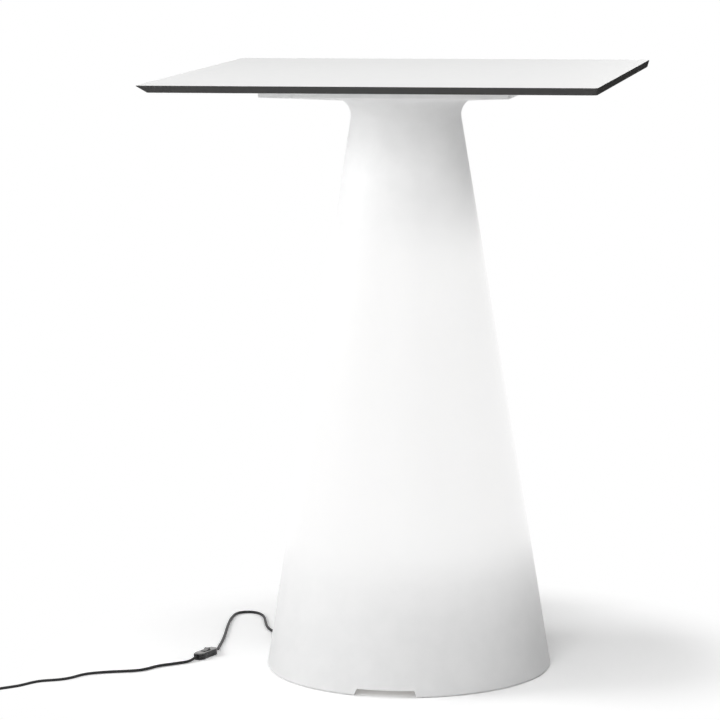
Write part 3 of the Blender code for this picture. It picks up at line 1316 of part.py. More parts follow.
def main():
    """Builds the table from an empty scene."""
    clear_scene()
    looks = {
        "laminate": finish("white_laminate", (0.86, 0.86, 0.85), 0.35),
        "shell": finish("translucent_plastic", (0.90, 0.89, 0.86), 0.45),
        "black": finish("black_plastic", (0.025, 0.025, 0.027), 0.40),
        "cord": finish("cord_sheath", (0.020, 0.020, 0.021), 0.50),
        "rubber": finish("black_rubber", (0.022, 0.022, 0.023), 0.65),
        "white": finish("white_plastic", (0.80, 0.80, 0.78), 0.45),
        "opal": finish("opal_plastic", (0.90, 0.88, 0.82), 0.30),
        "steel": finish("zinc_plated_steel", (0.55, 0.56, 0.58), 0.32, 1.0),
        "ballast": finish("painted_steel", (0.16, 0.16, 0.17), 0.55),
        "aluminium": finish("aluminium", (0.72, 0.73, 0.75), 0.38, 1.0),
        "brass": finish("brass", (0.78, 0.60, 0.30), 0.30, 1.0),
        "nickel": finish("nickel_plate", (0.68, 0.67, 0.64), 0.22, 1.0),
        "circuit": finish("white_circuit_board", (0.78, 0.78, 0.74), 0.40),
        "ferrite": finish("ferrite", (0.10, 0.10, 0.11), 0.55),
    }
    build_top(looks)
    build_top_fixings(looks)
    build_shell(looks)
    build_cover(looks)
    build_ballast(looks)
    build_lamp(looks)
    build_driver(looks)
    build_terminal_block(looks)
    build_gland(looks)
    build_leads(looks)
    build_switch(looks)
    build_cords(looks)


if __name__ == "__main__":
    main()
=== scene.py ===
"""Light-up bar table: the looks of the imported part, seen from the photograph's place.

Everything is in metres in the part's own frame: +Z up, the origin on the floor under the
middle of the base, and the notch in the foot rim facing -Y.
"""

import json
import logging
import math
from collections.abc import Callable, Iterable, Sequence
from dataclasses import dataclass, field
from enum import Enum

import bmesh
import bpy
import numpy as np
from mathutils import Matrix, Vector

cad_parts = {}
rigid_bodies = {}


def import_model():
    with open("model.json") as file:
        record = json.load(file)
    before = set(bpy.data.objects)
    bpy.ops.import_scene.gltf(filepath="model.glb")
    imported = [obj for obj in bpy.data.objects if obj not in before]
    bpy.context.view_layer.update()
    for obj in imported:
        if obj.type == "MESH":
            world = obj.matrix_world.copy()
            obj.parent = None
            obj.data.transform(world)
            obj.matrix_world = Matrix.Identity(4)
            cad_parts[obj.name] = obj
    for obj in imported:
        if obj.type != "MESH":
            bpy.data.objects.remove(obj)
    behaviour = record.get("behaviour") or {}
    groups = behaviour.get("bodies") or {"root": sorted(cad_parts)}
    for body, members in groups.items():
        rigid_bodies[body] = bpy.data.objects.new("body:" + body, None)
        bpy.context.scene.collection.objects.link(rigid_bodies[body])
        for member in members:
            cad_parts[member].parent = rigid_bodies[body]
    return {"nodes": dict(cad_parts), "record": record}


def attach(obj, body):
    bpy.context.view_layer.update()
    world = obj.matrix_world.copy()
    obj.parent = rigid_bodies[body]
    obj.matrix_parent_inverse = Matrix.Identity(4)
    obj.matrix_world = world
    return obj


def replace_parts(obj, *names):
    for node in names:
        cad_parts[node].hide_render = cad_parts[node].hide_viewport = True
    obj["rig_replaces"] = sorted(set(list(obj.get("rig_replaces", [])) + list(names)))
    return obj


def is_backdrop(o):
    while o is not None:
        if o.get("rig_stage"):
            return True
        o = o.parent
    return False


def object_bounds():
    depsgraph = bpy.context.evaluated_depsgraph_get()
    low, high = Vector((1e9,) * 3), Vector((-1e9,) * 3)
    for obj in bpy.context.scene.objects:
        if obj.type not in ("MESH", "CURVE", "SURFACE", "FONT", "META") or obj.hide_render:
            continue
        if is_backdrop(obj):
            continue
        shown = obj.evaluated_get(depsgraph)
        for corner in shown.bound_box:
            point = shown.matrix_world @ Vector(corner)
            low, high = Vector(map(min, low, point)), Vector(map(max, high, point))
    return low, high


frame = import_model()
CAD_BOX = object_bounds()

log = logging.getLogger("light_up_table")

Colour = tuple[float, float, float]
Ring = list[Vector]
Shape = bmesh.types.BMesh
Corner = bmesh.types.BMVert
Edge = bmesh.types.BMEdge
Node = bpy.types.Node
Socket = bpy.types.NodeSocket
Object = bpy.types.Object

ROOT = "root"
BLACK: Colour = (0.0, 0.0, 0.0)
WHITE: Colour = (1.0, 1.0, 1.0)

# Sizes and angles that several pieces share
SHARP_ANGLE = math.radians(32)
QUARTER_TURN = math.pi / 2
GAP = 0.0003  # between pieces that touch
OVERRUN = 0.004  # by which a cutter passes the faces that it cuts
NEAR = 0.000001  # what lies this close together is in one place
SHELL_TOP = 1.0867
EXIT_ANGLE = math.radians(155)  # round the base, to where the cord leaves it
EXIT_HEIGHT = 0.034


class Slot(Enum):
    """The record's material slots."""

    LAMINATE = "laminate"
    LIT_SHELL = "lit_shell"
    BLACK_PLASTIC = "black_plastic"
    CORD = "cord_sheath"
    RUBBER = "black_rubber"
    STEEL = "steel"
    BALLAST = "ballast_paint"
    ALUMINIUM = "aluminium"
    BRASS = "brass"
    NICKEL = "nickel"
    BOARD = "circuit_board"
    OPAL = "opal_plastic"
    WHITE_PLASTIC = "white_plastic"
    FERRITE = "ferrite"


# Node groups that several finishes share


class Nodes:
    """A node tree that is filled one node at a time."""

    def __init__(self, tree: bpy.types.NodeTree) -> None:
        """Starts on a material's, world's or group's tree, and empties it."""
        self.tree = tree
        tree.nodes.clear()

    def add(self, kind: str, *wires: object, **settings: object) -> Node:
        """Adds a node and fills its inputs.

        Args:
            kind: The node's type, without its ShaderNode part.
            wires: What goes into its inputs in order: a socket, a value, or None to leave it.
            settings: The node's own properties.

        Returns:
            The new node.
        """
        full = kind if kind.startswith("NodeGroup") else "ShaderNode" + kind
        node = self.tree.nodes.new(full)
        for name, value in settings.items():
            setattr(node, name, value)
        for index, wire in enumerate(wires):
            self.feed(node, index, wire)
        return node

    def feed(self, node: Node, key: int | str, wire: object) -> None:
        """Links a socket to an input or sets its value, and leaves it as it is for None.

        Args:
            node: The node.
            key: Its input's number or name.
            wire: A socket, a value or None.
        """
        if isinstance(wire, Socket):
            self.tree.links.new(wire, node.inputs[key])
        elif wire is not None:
            node.inputs[key].default_value = wire

    def noise(self, place: object, scale: object, detail: float, rough: float) -> Socket:
        """Adds a noise and returns its value."""
        return self.add("TexNoise", place, None, scale, detail, rough).outputs[0]

    def maths(self, operation: str, *wires: object, clamp: bool = False) -> Socket:
        """Adds a Math node and returns its output."""
        node = self.add("Math", *wires, operation=operation, use_clamp=clamp)
        return node.outputs[0]

    def mix(self, share: object, first: object, second: object) -> Socket:
        """Mixes two colours.

        Args:
            share: How much of the second colour, from 0 to 1.
            first: The first colour or its socket.
            second: The second colour or its socket.

        Returns:
            The mixed colour's socket.
        """
        node = self.add("Mix", data_type="RGBA")
        for name, wire in (("Factor_Float", share), ("A_Color", first), ("B_Color", second)):
            socket = next(s for s in node.inputs if s.identifier == name)
            if isinstance(wire, Socket):
                self.tree.links.new(wire, socket)
            else:
                socket.default_value = wire if name == "Factor_Float" else (*wire[:3], 1.0)
        return next(s for s in node.outputs if s.identifier == "Result_Color")

    def span(
        self, value: object, low: float, high: float, to_low: float = 0.0, to_high: float = 1.0
    ) -> Socket:
        """Maps low and high to to_low and to_high, smoothly between and level past them."""
        node = self.add("MapRange", value, low, high, to_low, to_high, interpolation_type="SMOOTHSTEP")
        return node.outputs[0]

    def ramp(self, value: object, stops: Sequence[tuple[float, float]]) -> Socket:
        """A grey ramp along a value from 0 to 1, with each stop's place and grey.

        Args:
            value: What runs along the ramp.
            stops: Each stop's place and grey, in order.

        Returns:
            The grey's socket.
        """
        node = self.add("ValToRGB", value)
        node.color_ramp.interpolation = "CARDINAL"
        elements = node.color_ramp.elements
        for place, _grey in stops[2:]:
            elements.new(place)
        for element, (place, grey) in zip(elements, stops):
            element.position = place
            element.color = (grey, grey, grey, 1.0)
        return node.outputs[0]

    def group(self, tree: bpy.types.NodeTree, **values: float) -> Node:
        """Places a shared group with its own values.

        Args:
            tree: The group.
            values: What its inputs get, by their names.

        Returns:
            The group's node.
        """
        node = self.add("Group", node_tree=tree)
        for label, value in values.items():
            node.inputs[label].default_value = value
        return node

    def bump(self, height: object, depth: float) -> Socket:
        """Turns a height into a normal.

        Args:
            height: The height's socket.
            depth: How far a height of 1 stands out, in metres.

        Returns:
            The normal's socket.
        """
        node = self.add("Bump")
        for label, wire in (("Strength", 1.0), ("Distance", depth), ("Height", height)):
            self.feed(node, label, wire)
        return node.outputs["Normal"]


def seen_rays(nodes: Nodes) -> Socket:
    """Is 1 for what the camera sees, also in metal and through glass, and 0 for light on the object.

    Args:
        nodes: The tree that asks.

    Returns:
        The mask's socket.
    """
    path = nodes.add("LightPath")
    seen = nodes.maths("ADD", path.outputs["Is Camera Ray"], path.outputs["Is Glossy Ray"], clamp=True)
    return nodes.maths("ADD", seen, path.outputs["Is Transmission Ray"], clamp=True)


def new_group(
    name: str,
    inputs: dict[str, float],
    outputs: dict[str, str],
    build: Callable[[Nodes, Node], dict[str, Socket]],
) -> bpy.types.NodeTree:
    """Makes a node group once.

    Args:
        name: The group's name.
        inputs: Each number that it takes and its usual value.
        outputs: Each output and its socket type.
        build: Fills the group from its input node, and returns a socket for each output.

    Returns:
        The group's tree.
    """
    tree = bpy.data.node_groups.new(name, "ShaderNodeTree")
    for label, value in inputs.items():
        socket = tree.interface.new_socket(label, in_out="INPUT", socket_type="NodeSocketFloat")
        socket.default_value = value
    for label, kind in outputs.items():
        tree.interface.new_socket(label, in_out="OUTPUT", socket_type=kind)
    nodes = Nodes(tree)
    made = build(nodes, nodes.add("NodeGroupInput"))
    end = nodes.add("NodeGroupOutput")
    for label, wire in made.items():
        nodes.feed(end, label, wire)
    return tree


BROAD_SHARE = 0.035  # of the grain's scale: the broad patches' scale
PIT_SHARE = 0.8  # of the grain's scale: the pits' scale
NOISE_SPAN = (0.3, 0.7)  # where most of a noise's values lie
LINE_SPAN = (0.35, 0.65)  # the same for drawn lines
RUBBED_SPAN = (0.42, 0.62)  # of the patches, from whole edges to rubbed ones
TOP_PATCH_SPAN = (0.35, 0.7, 0.75, 1.0)  # of the patches, and the shares of the dust and painted sheen at both ends
EDGE_SPAN = (0.52, 0.60)  # of the pointiness, from a flat face to an edge
UP_SPAN = (0.3, 1.0)  # of the normal's Z, from where dust and painted sheen begin


def fill_grain(nodes: Nodes, given: Node) -> dict[str, Socket]:
    """Fine and broad unevenness of a moulded, cast or painted face.

    Args:
        nodes: The group's tree.
        given: The group's input node.

    Returns:
        A socket for each output.
    """
    place = nodes.add("TexCoord").outputs["Object"]
    scale = given.outputs["Scale"]
    fine = nodes.noise(place, scale, detail=3.0, rough=0.6)
    broad = nodes.noise(place, nodes.maths("MULTIPLY", scale, BROAD_SHARE), detail=4.0, rough=0.55)
    pits = nodes.add("TexVoronoi", place, None, nodes.maths("MULTIPLY", scale, PIT_SHARE)).outputs[0]
    height = nodes.maths("ADD", fine, nodes.maths("MULTIPLY", pits, given.outputs["Pits"]))
    return {
        "Height": height,
        "Fine": nodes.span(fine, *NOISE_SPAN),
        "Broad": nodes.span(broad, *NOISE_SPAN),
    }


def fill_wear_dust_and_sheen(nodes: Nodes, given: Node) -> dict[str, Socket]:
    """Rubbed edges, and a paler colour on up-facing faces: settled dust, and on black plastic a painted
    sheen.

    Args:
        nodes: The group's tree.
        given: The group's input node.

    Returns:
        A socket for each output.
    """
    geometry = nodes.add("NewGeometry")
    place = nodes.add("TexCoord").outputs["Object"]
    patches = nodes.noise(place, given.outputs["Scale"], detail=5.0, rough=0.65)
    edge = nodes.span(geometry.outputs["Pointiness"], *EDGE_SPAN)
    rubbed = nodes.maths("MULTIPLY", edge, nodes.span(patches, *RUBBED_SPAN))
    up = nodes.add("SeparateXYZ", geometry.outputs["Normal"]).outputs[2]
    top_patches = nodes.span(patches, *TOP_PATCH_SPAN)
    dust_and_sheen = nodes.maths("MULTIPLY", nodes.span(up, *UP_SPAN), top_patches)
    return {
        "Edge": nodes.maths("MULTIPLY", rubbed, given.outputs["Rubbed"], clamp=True),
        "Dust": nodes.maths("MULTIPLY", dust_and_sheen, given.outputs["Dusty"], clamp=True),
    }


def fill_lines(nodes: Nodes, given: Node) -> dict[str, Socket]:
    """Drawn or turned lines that run along one axis.

    Args:
        nodes: The group's tree.
        given: The group's input node.

    Returns:
        A socket for each output.
    """
    place = nodes.add("TexCoord").outputs["Object"]
    stretch = nodes.add("CombineXYZ", given.outputs["X"], given.outputs["Y"], given.outputs["Z"])
    drawn = nodes.add("VectorMath", place, stretch.outputs[0], operation="MULTIPLY").outputs[0]
    lines = nodes.noise(drawn, 1.0, detail=4.0, rough=0.7)
    return {"Height": lines, "Mask": nodes.span(lines, *LINE_SPAN)}


FLOAT_SOCKET = "NodeSocketFloat"
GRAIN = new_group(
    "moulded_grain",
    {"Scale": 600.0, "Pits": 0.4},
    {"Height": FLOAT_SOCKET, "Fine": FLOAT_SOCKET, "Broad": FLOAT_SOCKET},
    fill_grain,
)
WEAR_DUST_AND_SHEEN = new_group(
    "wear_dust_and_sheen",
    {"Scale": 90.0, "Rubbed": 0.5, "Dusty": 0.1},
    {"Edge": FLOAT_SOCKET, "Dust": FLOAT_SOCKET},
    fill_wear_dust_and_sheen,
)
LINES = new_group(
    "drawn_lines",
    {"X": 2000.0, "Y": 2000.0, "Z": 20.0},
    {"Height": FLOAT_SOCKET, "Mask": FLOAT_SOCKET},
    fill_lines,
)

# Finishes


@dataclass(frozen=True)
class Finish:
    """A moulded, painted or cast finish: colour that drifts, grain, rubbed edges, and dust that on black
    plastic is a painted sheen on top faces.
    """

    slot: Slot
    colour: Colour
    drift: Colour  # the colour of its other patches
    roughness: tuple[float, float]  # least and most
    metallic: float = 0.0
    grain_scale: float = 900.0
    grain_depth: float = 0.00004
    pits: float = 0.4
    worn: Colour = (0.5, 0.5, 0.5)
    rubbed: float = 0.35
    # Share and colour of the paler colour on up-facing faces: dust, and on black plastic a painted sheen of
    # light on the tops
    dust_and_sheen: float = 0.08
    dust_and_sheen_colour: Colour = (0.54, 0.535, 0.53)
    specular: float = 0.5
    coat: float = 0.0
    title: str = ""  # the material's name, where it isn't the slot's

    def surface(self, nodes: Nodes) -> tuple[Socket, Socket, Socket]:
        """The sockets of the finish's colour, roughness and normal.

        Args:
            nodes: The material's tree.

        Returns:
            The sockets of its colour, roughness and normal.
        """
        grain = nodes.group(GRAIN, Scale=self.grain_scale, Pits=self.pits)
        wear_and_sheen = nodes.group(WEAR_DUST_AND_SHEEN, Rubbed=self.rubbed, Dusty=self.dust_and_sheen)
        colour = nodes.mix(grain.outputs["Broad"], self.colour, self.drift)
        colour = nodes.mix(wear_and_sheen.outputs["Edge"], colour, self.worn)
        colour = nodes.mix(wear_and_sheen.outputs["Dust"], colour, self.dust_and_sheen_colour)
        low, high = self.roughness
        rough = nodes.span(grain.outputs["Fine"], 0.0, 1.0, low, high)
        return colour, rough, nodes.bump(grain.outputs["Height"], self.grain_depth)

    def extras(self, nodes: Nodes, shader: Node) -> None:
        """Sets what only some finishes have."""

    def build(self) -> bpy.types.Material:
        """Makes the material.

        Returns:
            The material.
        """
        look = bpy.data.materials.new(self.title or self.slot.value)
        look.use_nodes = True
        nodes = Nodes(look.node_tree)
        colour, rough, normal = self.surface(nodes)
        shader = nodes.add("BsdfPrincipled")
        for name, wire in (("Base Color", colour), ("Roughness", rough), ("Normal", normal)):
            nodes.feed(shader, name, wire)
        shader.inputs["Metallic"].default_value = self.metallic
        shader.inputs["Specular IOR Level"].default_value = self.specular
        shader.inputs["Coat Weight"].default_value = self.coat
        self.extras(nodes, shader)
        nodes.add("OutputMaterial", shader.outputs[0])
        look.diffuse_color = (*self.colour, 1.0)
        return look


@dataclass(frozen=True)
class DrawnMetal(Finish):
    """A metal with lines from drawing or turning."""

    lines: tuple[float, float, float] = (1500.0, 1500.0, 30.0)
    line_depth: float = 0.00003

    def surface(self, nodes: Nodes) -> tuple[Socket, Socket, Socket]:
        """Adds drawn lines to the plain finish.

        Args:
            nodes: The material's tree.

        Returns:
            The sockets of its colour, roughness and normal.
        """
        colour, _rough, _normal = super().surface(nodes)
        drawn = nodes.group(LINES, **dict(zip("XYZ", self.lines)))
        low, high = self.roughness
        rough = nodes.span(drawn.outputs["Mask"], 0.0, 1.0, low, high)
        return colour, rough, nodes.bump(drawn.outputs["Height"], self.line_depth)


@dataclass(frozen=True)
class LaminateCore(Finish):
    """The dark core of compact laminate, whose layers show at the cut edge."""

    layer: Colour = (0.083, 0.083, 0.083)
    sawn: tuple[float, float] = (0.80, 0.92)  # roughness across the layers
    layers: tuple[float, float, float] = (9.0, 9.0, 5200.0)

    def surface(self, nodes: Nodes) -> tuple[Socket, Socket, Socket]:
        """Adds the layers.

        Args:
            nodes: The material's tree.

        Returns:
            The sockets of its colour, roughness and normal.
        """
        colour, _, normal = super().surface(nodes)
        mask = nodes.group(LINES, **dict(zip("XYZ", self.layers))).outputs["Mask"]
        return nodes.mix(mask, colour, self.layer), nodes.span(mask, 0.0, 1.0, *self.sawn), normal


@dataclass(frozen=True)
class LitShell(Finish):
    """Translucent moulded plastic with a painted glow that stands in for the lamp shining through it."""

    # Colour of the painted glow: emission laid on the shell, which is no lamp
    glow: Colour = (1.0, 0.998, 0.995)
    full_painted_glow: float = 0.745
    darkened_under_glow: float = 0.77  # share by which the base colour is darkened under the full painted glow
    stops: tuple[tuple[float, float], ...] = (  # height in metres, share of the full painted glow
        (0.04, 0.0), (0.08, 0.04), (0.11, 0.10), (0.14, 0.21), (0.17, 0.36), (0.20, 0.53), (0.24, 0.83),
        (0.28, 0.96), (0.33, 1.0), (0.72, 1.0), (0.76, 0.96), (0.80, 0.83), (0.84, 0.57), (0.88, 0.33),
        (0.92, 0.13), (0.96, 0.04), (1.02, 0.0),
    )
    wall_scale: float = 5.0  # of the wall's slow changes in thickness
    wall_change: float = 0.02  # share of the painted glow that they add or take

    def extras(self, nodes: Nodes, shader: Node) -> None:
        """Adds the painted glow, brightest over the lamp and uneven as the wall is, and darkens the base
        colour where it is strong.

        Args:
            nodes: The material's tree.
            shader: Its shader.
        """
        place = nodes.add("TexCoord").outputs["Object"]
        height = nodes.add("SeparateXYZ", place).outputs[2]
        stops = [(z / SHELL_TOP, share) for z, share in self.stops]
        level = nodes.ramp(nodes.maths("DIVIDE", height, SHELL_TOP), stops)
        wall = nodes.noise(place, self.wall_scale, detail=2.0, rough=0.5)
        even = nodes.span(wall, *NOISE_SPAN, 1.0 - self.wall_change, 1.0 + self.wall_change)
        level = nodes.maths("MULTIPLY", level, even)
        # Painted darkening: the base colour is darker where the painted glow is strong, so that both
        # together stay below white
        own = shader.inputs["Base Color"].links[0].from_socket
        darkened_under_glow = nodes.mix(nodes.maths("MULTIPLY", level, self.darkened_under_glow), own, BLACK)
        nodes.feed(shader, "Base Color", darkened_under_glow)
        # Painted glow: emission set by height, standing in for the lamp's light through the wall
        painted_glow = nodes.maths("MULTIPLY", level, self.full_painted_glow)
        nodes.feed(shader, "Emission Color", nodes.mix(painted_glow, BLACK, self.glow))
        shader.inputs["Emission Strength"].default_value = 1.0


@dataclass(frozen=True)
class LitDiffuser(Finish):
    """Opal plastic: the tube over the light boards is lit, and the bottom cover has a weaker painted glow.
    """

    glow: float = 0.6
    cover_painted_glow: float = 0.205  # share of the glow painted on the bottom cover, standing in for the lamp's light falling on it
    # Heights over which the bottom cover's painted glow rises to the tube's glow
    cover_glow_heights: tuple[float, float] = (0.02, 0.04)
    between_rows: float = 0.75  # share of the glow between two rows of chips
    rows_scale: float = 8.0
    rows_bend: float = 0.3
    tint: Colour = (1.0, 0.98, 0.94)

    def extras(self, nodes: Nodes, shader: Node) -> None:
        """Lights the tube a little more where each row of chips is, and paints a weaker glow low down on the
        bottom cover.

        Args:
            nodes: The material's tree.
            shader: Its shader.
        """
        place = nodes.add("TexCoord").outputs["Object"]
        rows = nodes.add("TexWave", place, self.rows_scale, self.rows_bend, bands_direction="Z").outputs[0]
        level = nodes.span(rows, 0.0, 1.0, self.between_rows * self.glow, self.glow)
        height = nodes.add("SeparateXYZ", place).outputs[2]
        # Low down, on the bottom cover, the glow is painted light: the cover is no lamp
        level = nodes.maths("MULTIPLY", level, nodes.span(height, *self.cover_glow_heights, self.cover_painted_glow, 1.0))
        nodes.feed(shader, "Emission Color", nodes.mix(level, BLACK, self.tint))
        shader.inputs["Emission Strength"].default_value = 1.0


CORE = LaminateCore(
    Slot.LAMINATE, (0.060, 0.060, 0.060), (0.070, 0.068, 0.065), (0.80, 0.92), specular=0.0,
    grain_scale=1400.0, grain_depth=0.000004, worn=(0.10, 0.10, 0.10), rubbed=0.1, dust_and_sheen=0.0,
    title="laminate_core",
)
FINISHES: tuple[Finish, ...] = (
    Finish(
        Slot.LAMINATE, (0.84, 0.84, 0.835), (0.825, 0.827, 0.825), (0.46, 0.54), specular=0.3,
        grain_scale=1400.0, grain_depth=0.000001, pits=0.0, worn=(0.9, 0.9, 0.9), rubbed=0.1, dust_and_sheen=0.01,
    ),
    LitShell(
        Slot.LIT_SHELL, (0.90, 0.90, 0.90), (0.875, 0.877, 0.877), (0.48, 0.58), specular=0.28,
        grain_scale=750.0, grain_depth=0.00005, pits=0.5, worn=(0.93, 0.93, 0.93), rubbed=0.3, dust_and_sheen=0.02,
    ),
    Finish(
        Slot.BLACK_PLASTIC, (0.008, 0.008, 0.010), (0.014, 0.014, 0.016), (0.16, 0.24), specular=0.3,
        # Its large share of pale colour on up-facing faces is a painted sheen that lightens the tops, not
        # dust
        grain_scale=1800.0, grain_depth=0.000004, pits=0.2, worn=(0.06, 0.06, 0.06), dust_and_sheen=0.42, coat=0.1,
    ),
    Finish(
        Slot.CORD, (0.014, 0.014, 0.015), (0.020, 0.020, 0.021), (0.46, 0.56), specular=0.2,
        grain_scale=1300.0, grain_depth=0.00001, pits=0.0, worn=(0.03, 0.03, 0.03), dust_and_sheen=0.03,
    ),
    Finish(
        Slot.RUBBER, (0.016, 0.016, 0.016), (0.026, 0.026, 0.026), (0.55, 0.72),
        grain_scale=1500.0, grain_depth=0.00006, worn=(0.08, 0.08, 0.08),
    ),
    DrawnMetal(
        Slot.STEEL, (0.50, 0.51, 0.53), (0.42, 0.43, 0.44), (0.24, 0.40), 1.0,
        worn=(0.70, 0.71, 0.72), lines=(1600.0, 1600.0, 400.0),
    ),
    Finish(
        Slot.BALLAST, (0.10, 0.10, 0.105), (0.13, 0.13, 0.135), (0.45, 0.62),
        grain_scale=420.0, grain_depth=0.0001, pits=0.8, worn=(0.38, 0.38, 0.40), rubbed=0.7,
    ),
    DrawnMetal(
        Slot.ALUMINIUM, (0.66, 0.67, 0.69), (0.58, 0.59, 0.60), (0.28, 0.42), 1.0,
        worn=(0.82, 0.83, 0.84), lines=(2200.0, 2200.0, 14.0),
    ),
    DrawnMetal(
        Slot.BRASS, (0.66, 0.47, 0.20), (0.52, 0.36, 0.15), (0.22, 0.38), 1.0,
        worn=(0.85, 0.66, 0.33), lines=(500.0, 500.0, 3000.0),
    ),
    DrawnMetal(
        Slot.NICKEL, (0.62, 0.60, 0.56), (0.55, 0.53, 0.50), (0.14, 0.26), 1.0,
        worn=(0.80, 0.78, 0.74), lines=(900.0, 900.0, 2500.0),
    ),
    Finish(
        Slot.BOARD, (0.76, 0.77, 0.73), (0.70, 0.72, 0.66), (0.25, 0.38),
        grain_scale=1600.0, grain_depth=0.00003, worn=(0.55, 0.45, 0.20), rubbed=0.3, coat=0.3,
    ),
    LitDiffuser(
        Slot.OPAL, (0.88, 0.877, 0.87), (0.84, 0.837, 0.83), (0.30, 0.40),
        grain_scale=900.0, grain_depth=0.00003,
    ),
    Finish(
        Slot.WHITE_PLASTIC, (0.74, 0.74, 0.71), (0.68, 0.68, 0.65), (0.38, 0.50),
        grain_scale=1200.0, worn=(0.82, 0.82, 0.80),
    ),
    Finish(
        Slot.FERRITE, (0.050, 0.050, 0.054), (0.085, 0.080, 0.075), (0.42, 0.60),
        grain_scale=900.0, grain_depth=0.0001, pits=0.8, worn=(0.20, 0.20, 0.20),
    ),
)

# Pieces


def add_object(name: str, data: bpy.types.ID) -> Object:
    """Makes an object of some data and links it to the scene.

    Args:
        name: Its name.
        data: A mesh, curve, camera or lamp.

    Returns:
        The object.
    """
    made = bpy.data.objects.new(name, data)
    bpy.context.scene.collection.objects.link(made)
    return made


def mesh_of(shape: Shape, name: str) -> bpy.types.Mesh:
    """Makes a mesh of a shape, and frees the shape.

    Args:
        shape: The shape.
        name: The mesh's name.

    Returns:
        The mesh.
    """
    mesh = bpy.data.meshes.new(name)
    shape.to_mesh(mesh)
    shape.free()
    return mesh


def round_edges(shape: Shape, edges: list[Edge], width: float, steps: int) -> None:
    """Rounds edges of a shape.

    Args:
        shape: The shape.
        edges: Those of its edges that are rounded.
        width: How far the rounding reaches from an edge.
        steps: How many faces go across it.
    """
    bmesh.ops.bevel(
        shape, geom=edges, offset=width, offset_type="OFFSET", segments=steps,
        profile=0.5, affect="EDGES", clamp_overlap=True, material=-1,
    )


def dress(piece: Object, look: bpy.types.Material) -> None:
    """Gives a piece one material."""
    piece.data.materials.clear()
    piece.data.materials.append(look)


@dataclass
class Workshop:
    """Turns shapes into finished pieces that ride on the frame."""

    looks: dict[Slot, bpy.types.Material] = field(default_factory=dict)
    node_slots: dict[str, Slot] = field(default_factory=dict)

    def prepare(self) -> None:
        """Makes every material, and dresses every CAD node in its own."""
        self.looks = {finish.slot: finish.build() for finish in FINISHES}
        for entry in frame["record"]["subparts"]:
            slot = Slot(entry["material_slot"])
            self.node_slots[entry["node"]] = slot
            dress(frame["nodes"][entry["node"]], self.looks[slot])

    def settle(self, piece: Object, slot: Slot, body: str, *nodes: str) -> Object:
        """Dresses a new piece, puts it on its body and hides the nodes that it stands for.

        Args:
            piece: The new piece, in place.
            slot: Its finish.
            body: The body that it moves with.
            nodes: The CAD nodes that it replaces.

        Returns:
            The same piece.
        """
        dress(piece, self.looks[slot])
        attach(piece, body)
        if nodes:
            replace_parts(piece, *nodes)
        log.info("%s: %s on %s, for %s", piece.name, slot.value, body, ", ".join(nodes) or "no node")
        return piece

    def piece(
        self, name: str, shape: Shape, slot: Slot, nodes: Sequence[str] = (), body: str = ROOT
    ) -> Object:
        """Makes a piece from a shape in the part's frame, and settles it.

        Args:
            name: The piece's name.
            shape: Its shape, which is freed.
            slot: Its finish.
            nodes: The CAD nodes that it replaces.
            body: The body that it moves with.

        Returns:
            The piece.
        """
        for face in shape.faces:
            face.smooth = True
        mesh = mesh_of(shape, name)
        mesh.set_sharp_from_angle(angle=SHARP_ANGLE)
        return self.settle(add_object(name, mesh), slot, body, *nodes)


def turn_z(angle: float) -> Matrix:
    """A turn about Z."""
    return Matrix.Rotation(angle, 4, "Z")


def four_places(aside: float) -> list[Matrix]:
    """The places that lie aside by as much along X and along Y, on either side of the axis."""
    return [Matrix.Translation((sx * aside, sy * aside, 0)) for sx in (1, -1) for sy in (1, -1)]


def first_ring(shape: Shape, spots: Ring) -> list[Corner]:
    """Starts a skin with a ring of corners on its spots, and returns them in order.

    Args:
        shape: The empty shape.
        spots: Where the corners go, in order.

    Returns:
        The corners in order.
    """
    made = bmesh.ops.create_circle(shape, segments=len(spots), radius=1.0)["verts"]
    ring = sorted(made, key=lambda v: math.atan2(v.co.y, v.co.x) % (2 * math.pi))
    for vert, spot in zip(ring, spots):
        vert.co = spot
    return ring


def grow(shape: Shape, ring: Sequence[Corner], spots: Ring) -> list[Corner]:
    """Extrudes a ring and moves the new one onto its spots.

    Args:
        shape: The mesh that is built.
        ring: The last ring's corners in order.
        spots: Where the new ring's corners go.

    Returns:
        The new ring's corners in order.
    """
    after = {v: w for v, w in zip(ring, [*ring[1:], ring[0]])}
    edges = [next(e for e in v.link_edges if e.other_vert(v) is w) for v, w in after.items()]
    made = bmesh.ops.extrude_edge_only(shape, edges=edges)["geom"]
    fresh = {g for g in made if isinstance(g, Corner)}
    twins = []
    for vert in ring:
        twins.append(next(e.other_vert(vert) for e in vert.link_edges if e.other_vert(vert) in fresh))
    for twin, spot in zip(twins, spots):
        twin.co = spot
    return twins


def skin(rings: Sequence[Ring]) -> Shape:
    """A closed skin through rings of equal count in order, with a lid at either end.

    Args:
        rings: The rings in order.

    Returns:
        The closed shape, its faces pointing outwards.
    """
    shape = bmesh.new()
    start = first_ring(shape, rings[0])
    last = start
    for spots in rings[1:]:
        last = grow(shape, last, spots)
    shape.faces.new(start)
    shape.faces.new(last)
    bmesh.ops.recalc_face_normals(shape, faces=shape.faces)
    return shape


def circle(radius: float, height: float, sides: int) -> Ring:
    """Spots round the Z axis."""
    turns = [2 * math.pi * i / sides for i in range(sides)]
    return [Vector((radius * math.cos(a), radius * math.sin(a), height)) for a in turns]


def turned(profile: Sequence[tuple[float, float]], sides: int, place: Matrix) -> Shape:
    """A solid turned round Z, from each ring's radius and height, and then put in its place."""
    rings = [circle(radius, height, sides) for radius, height in profile]
    return skin([[place @ spot for spot in ring] for ring in rings])


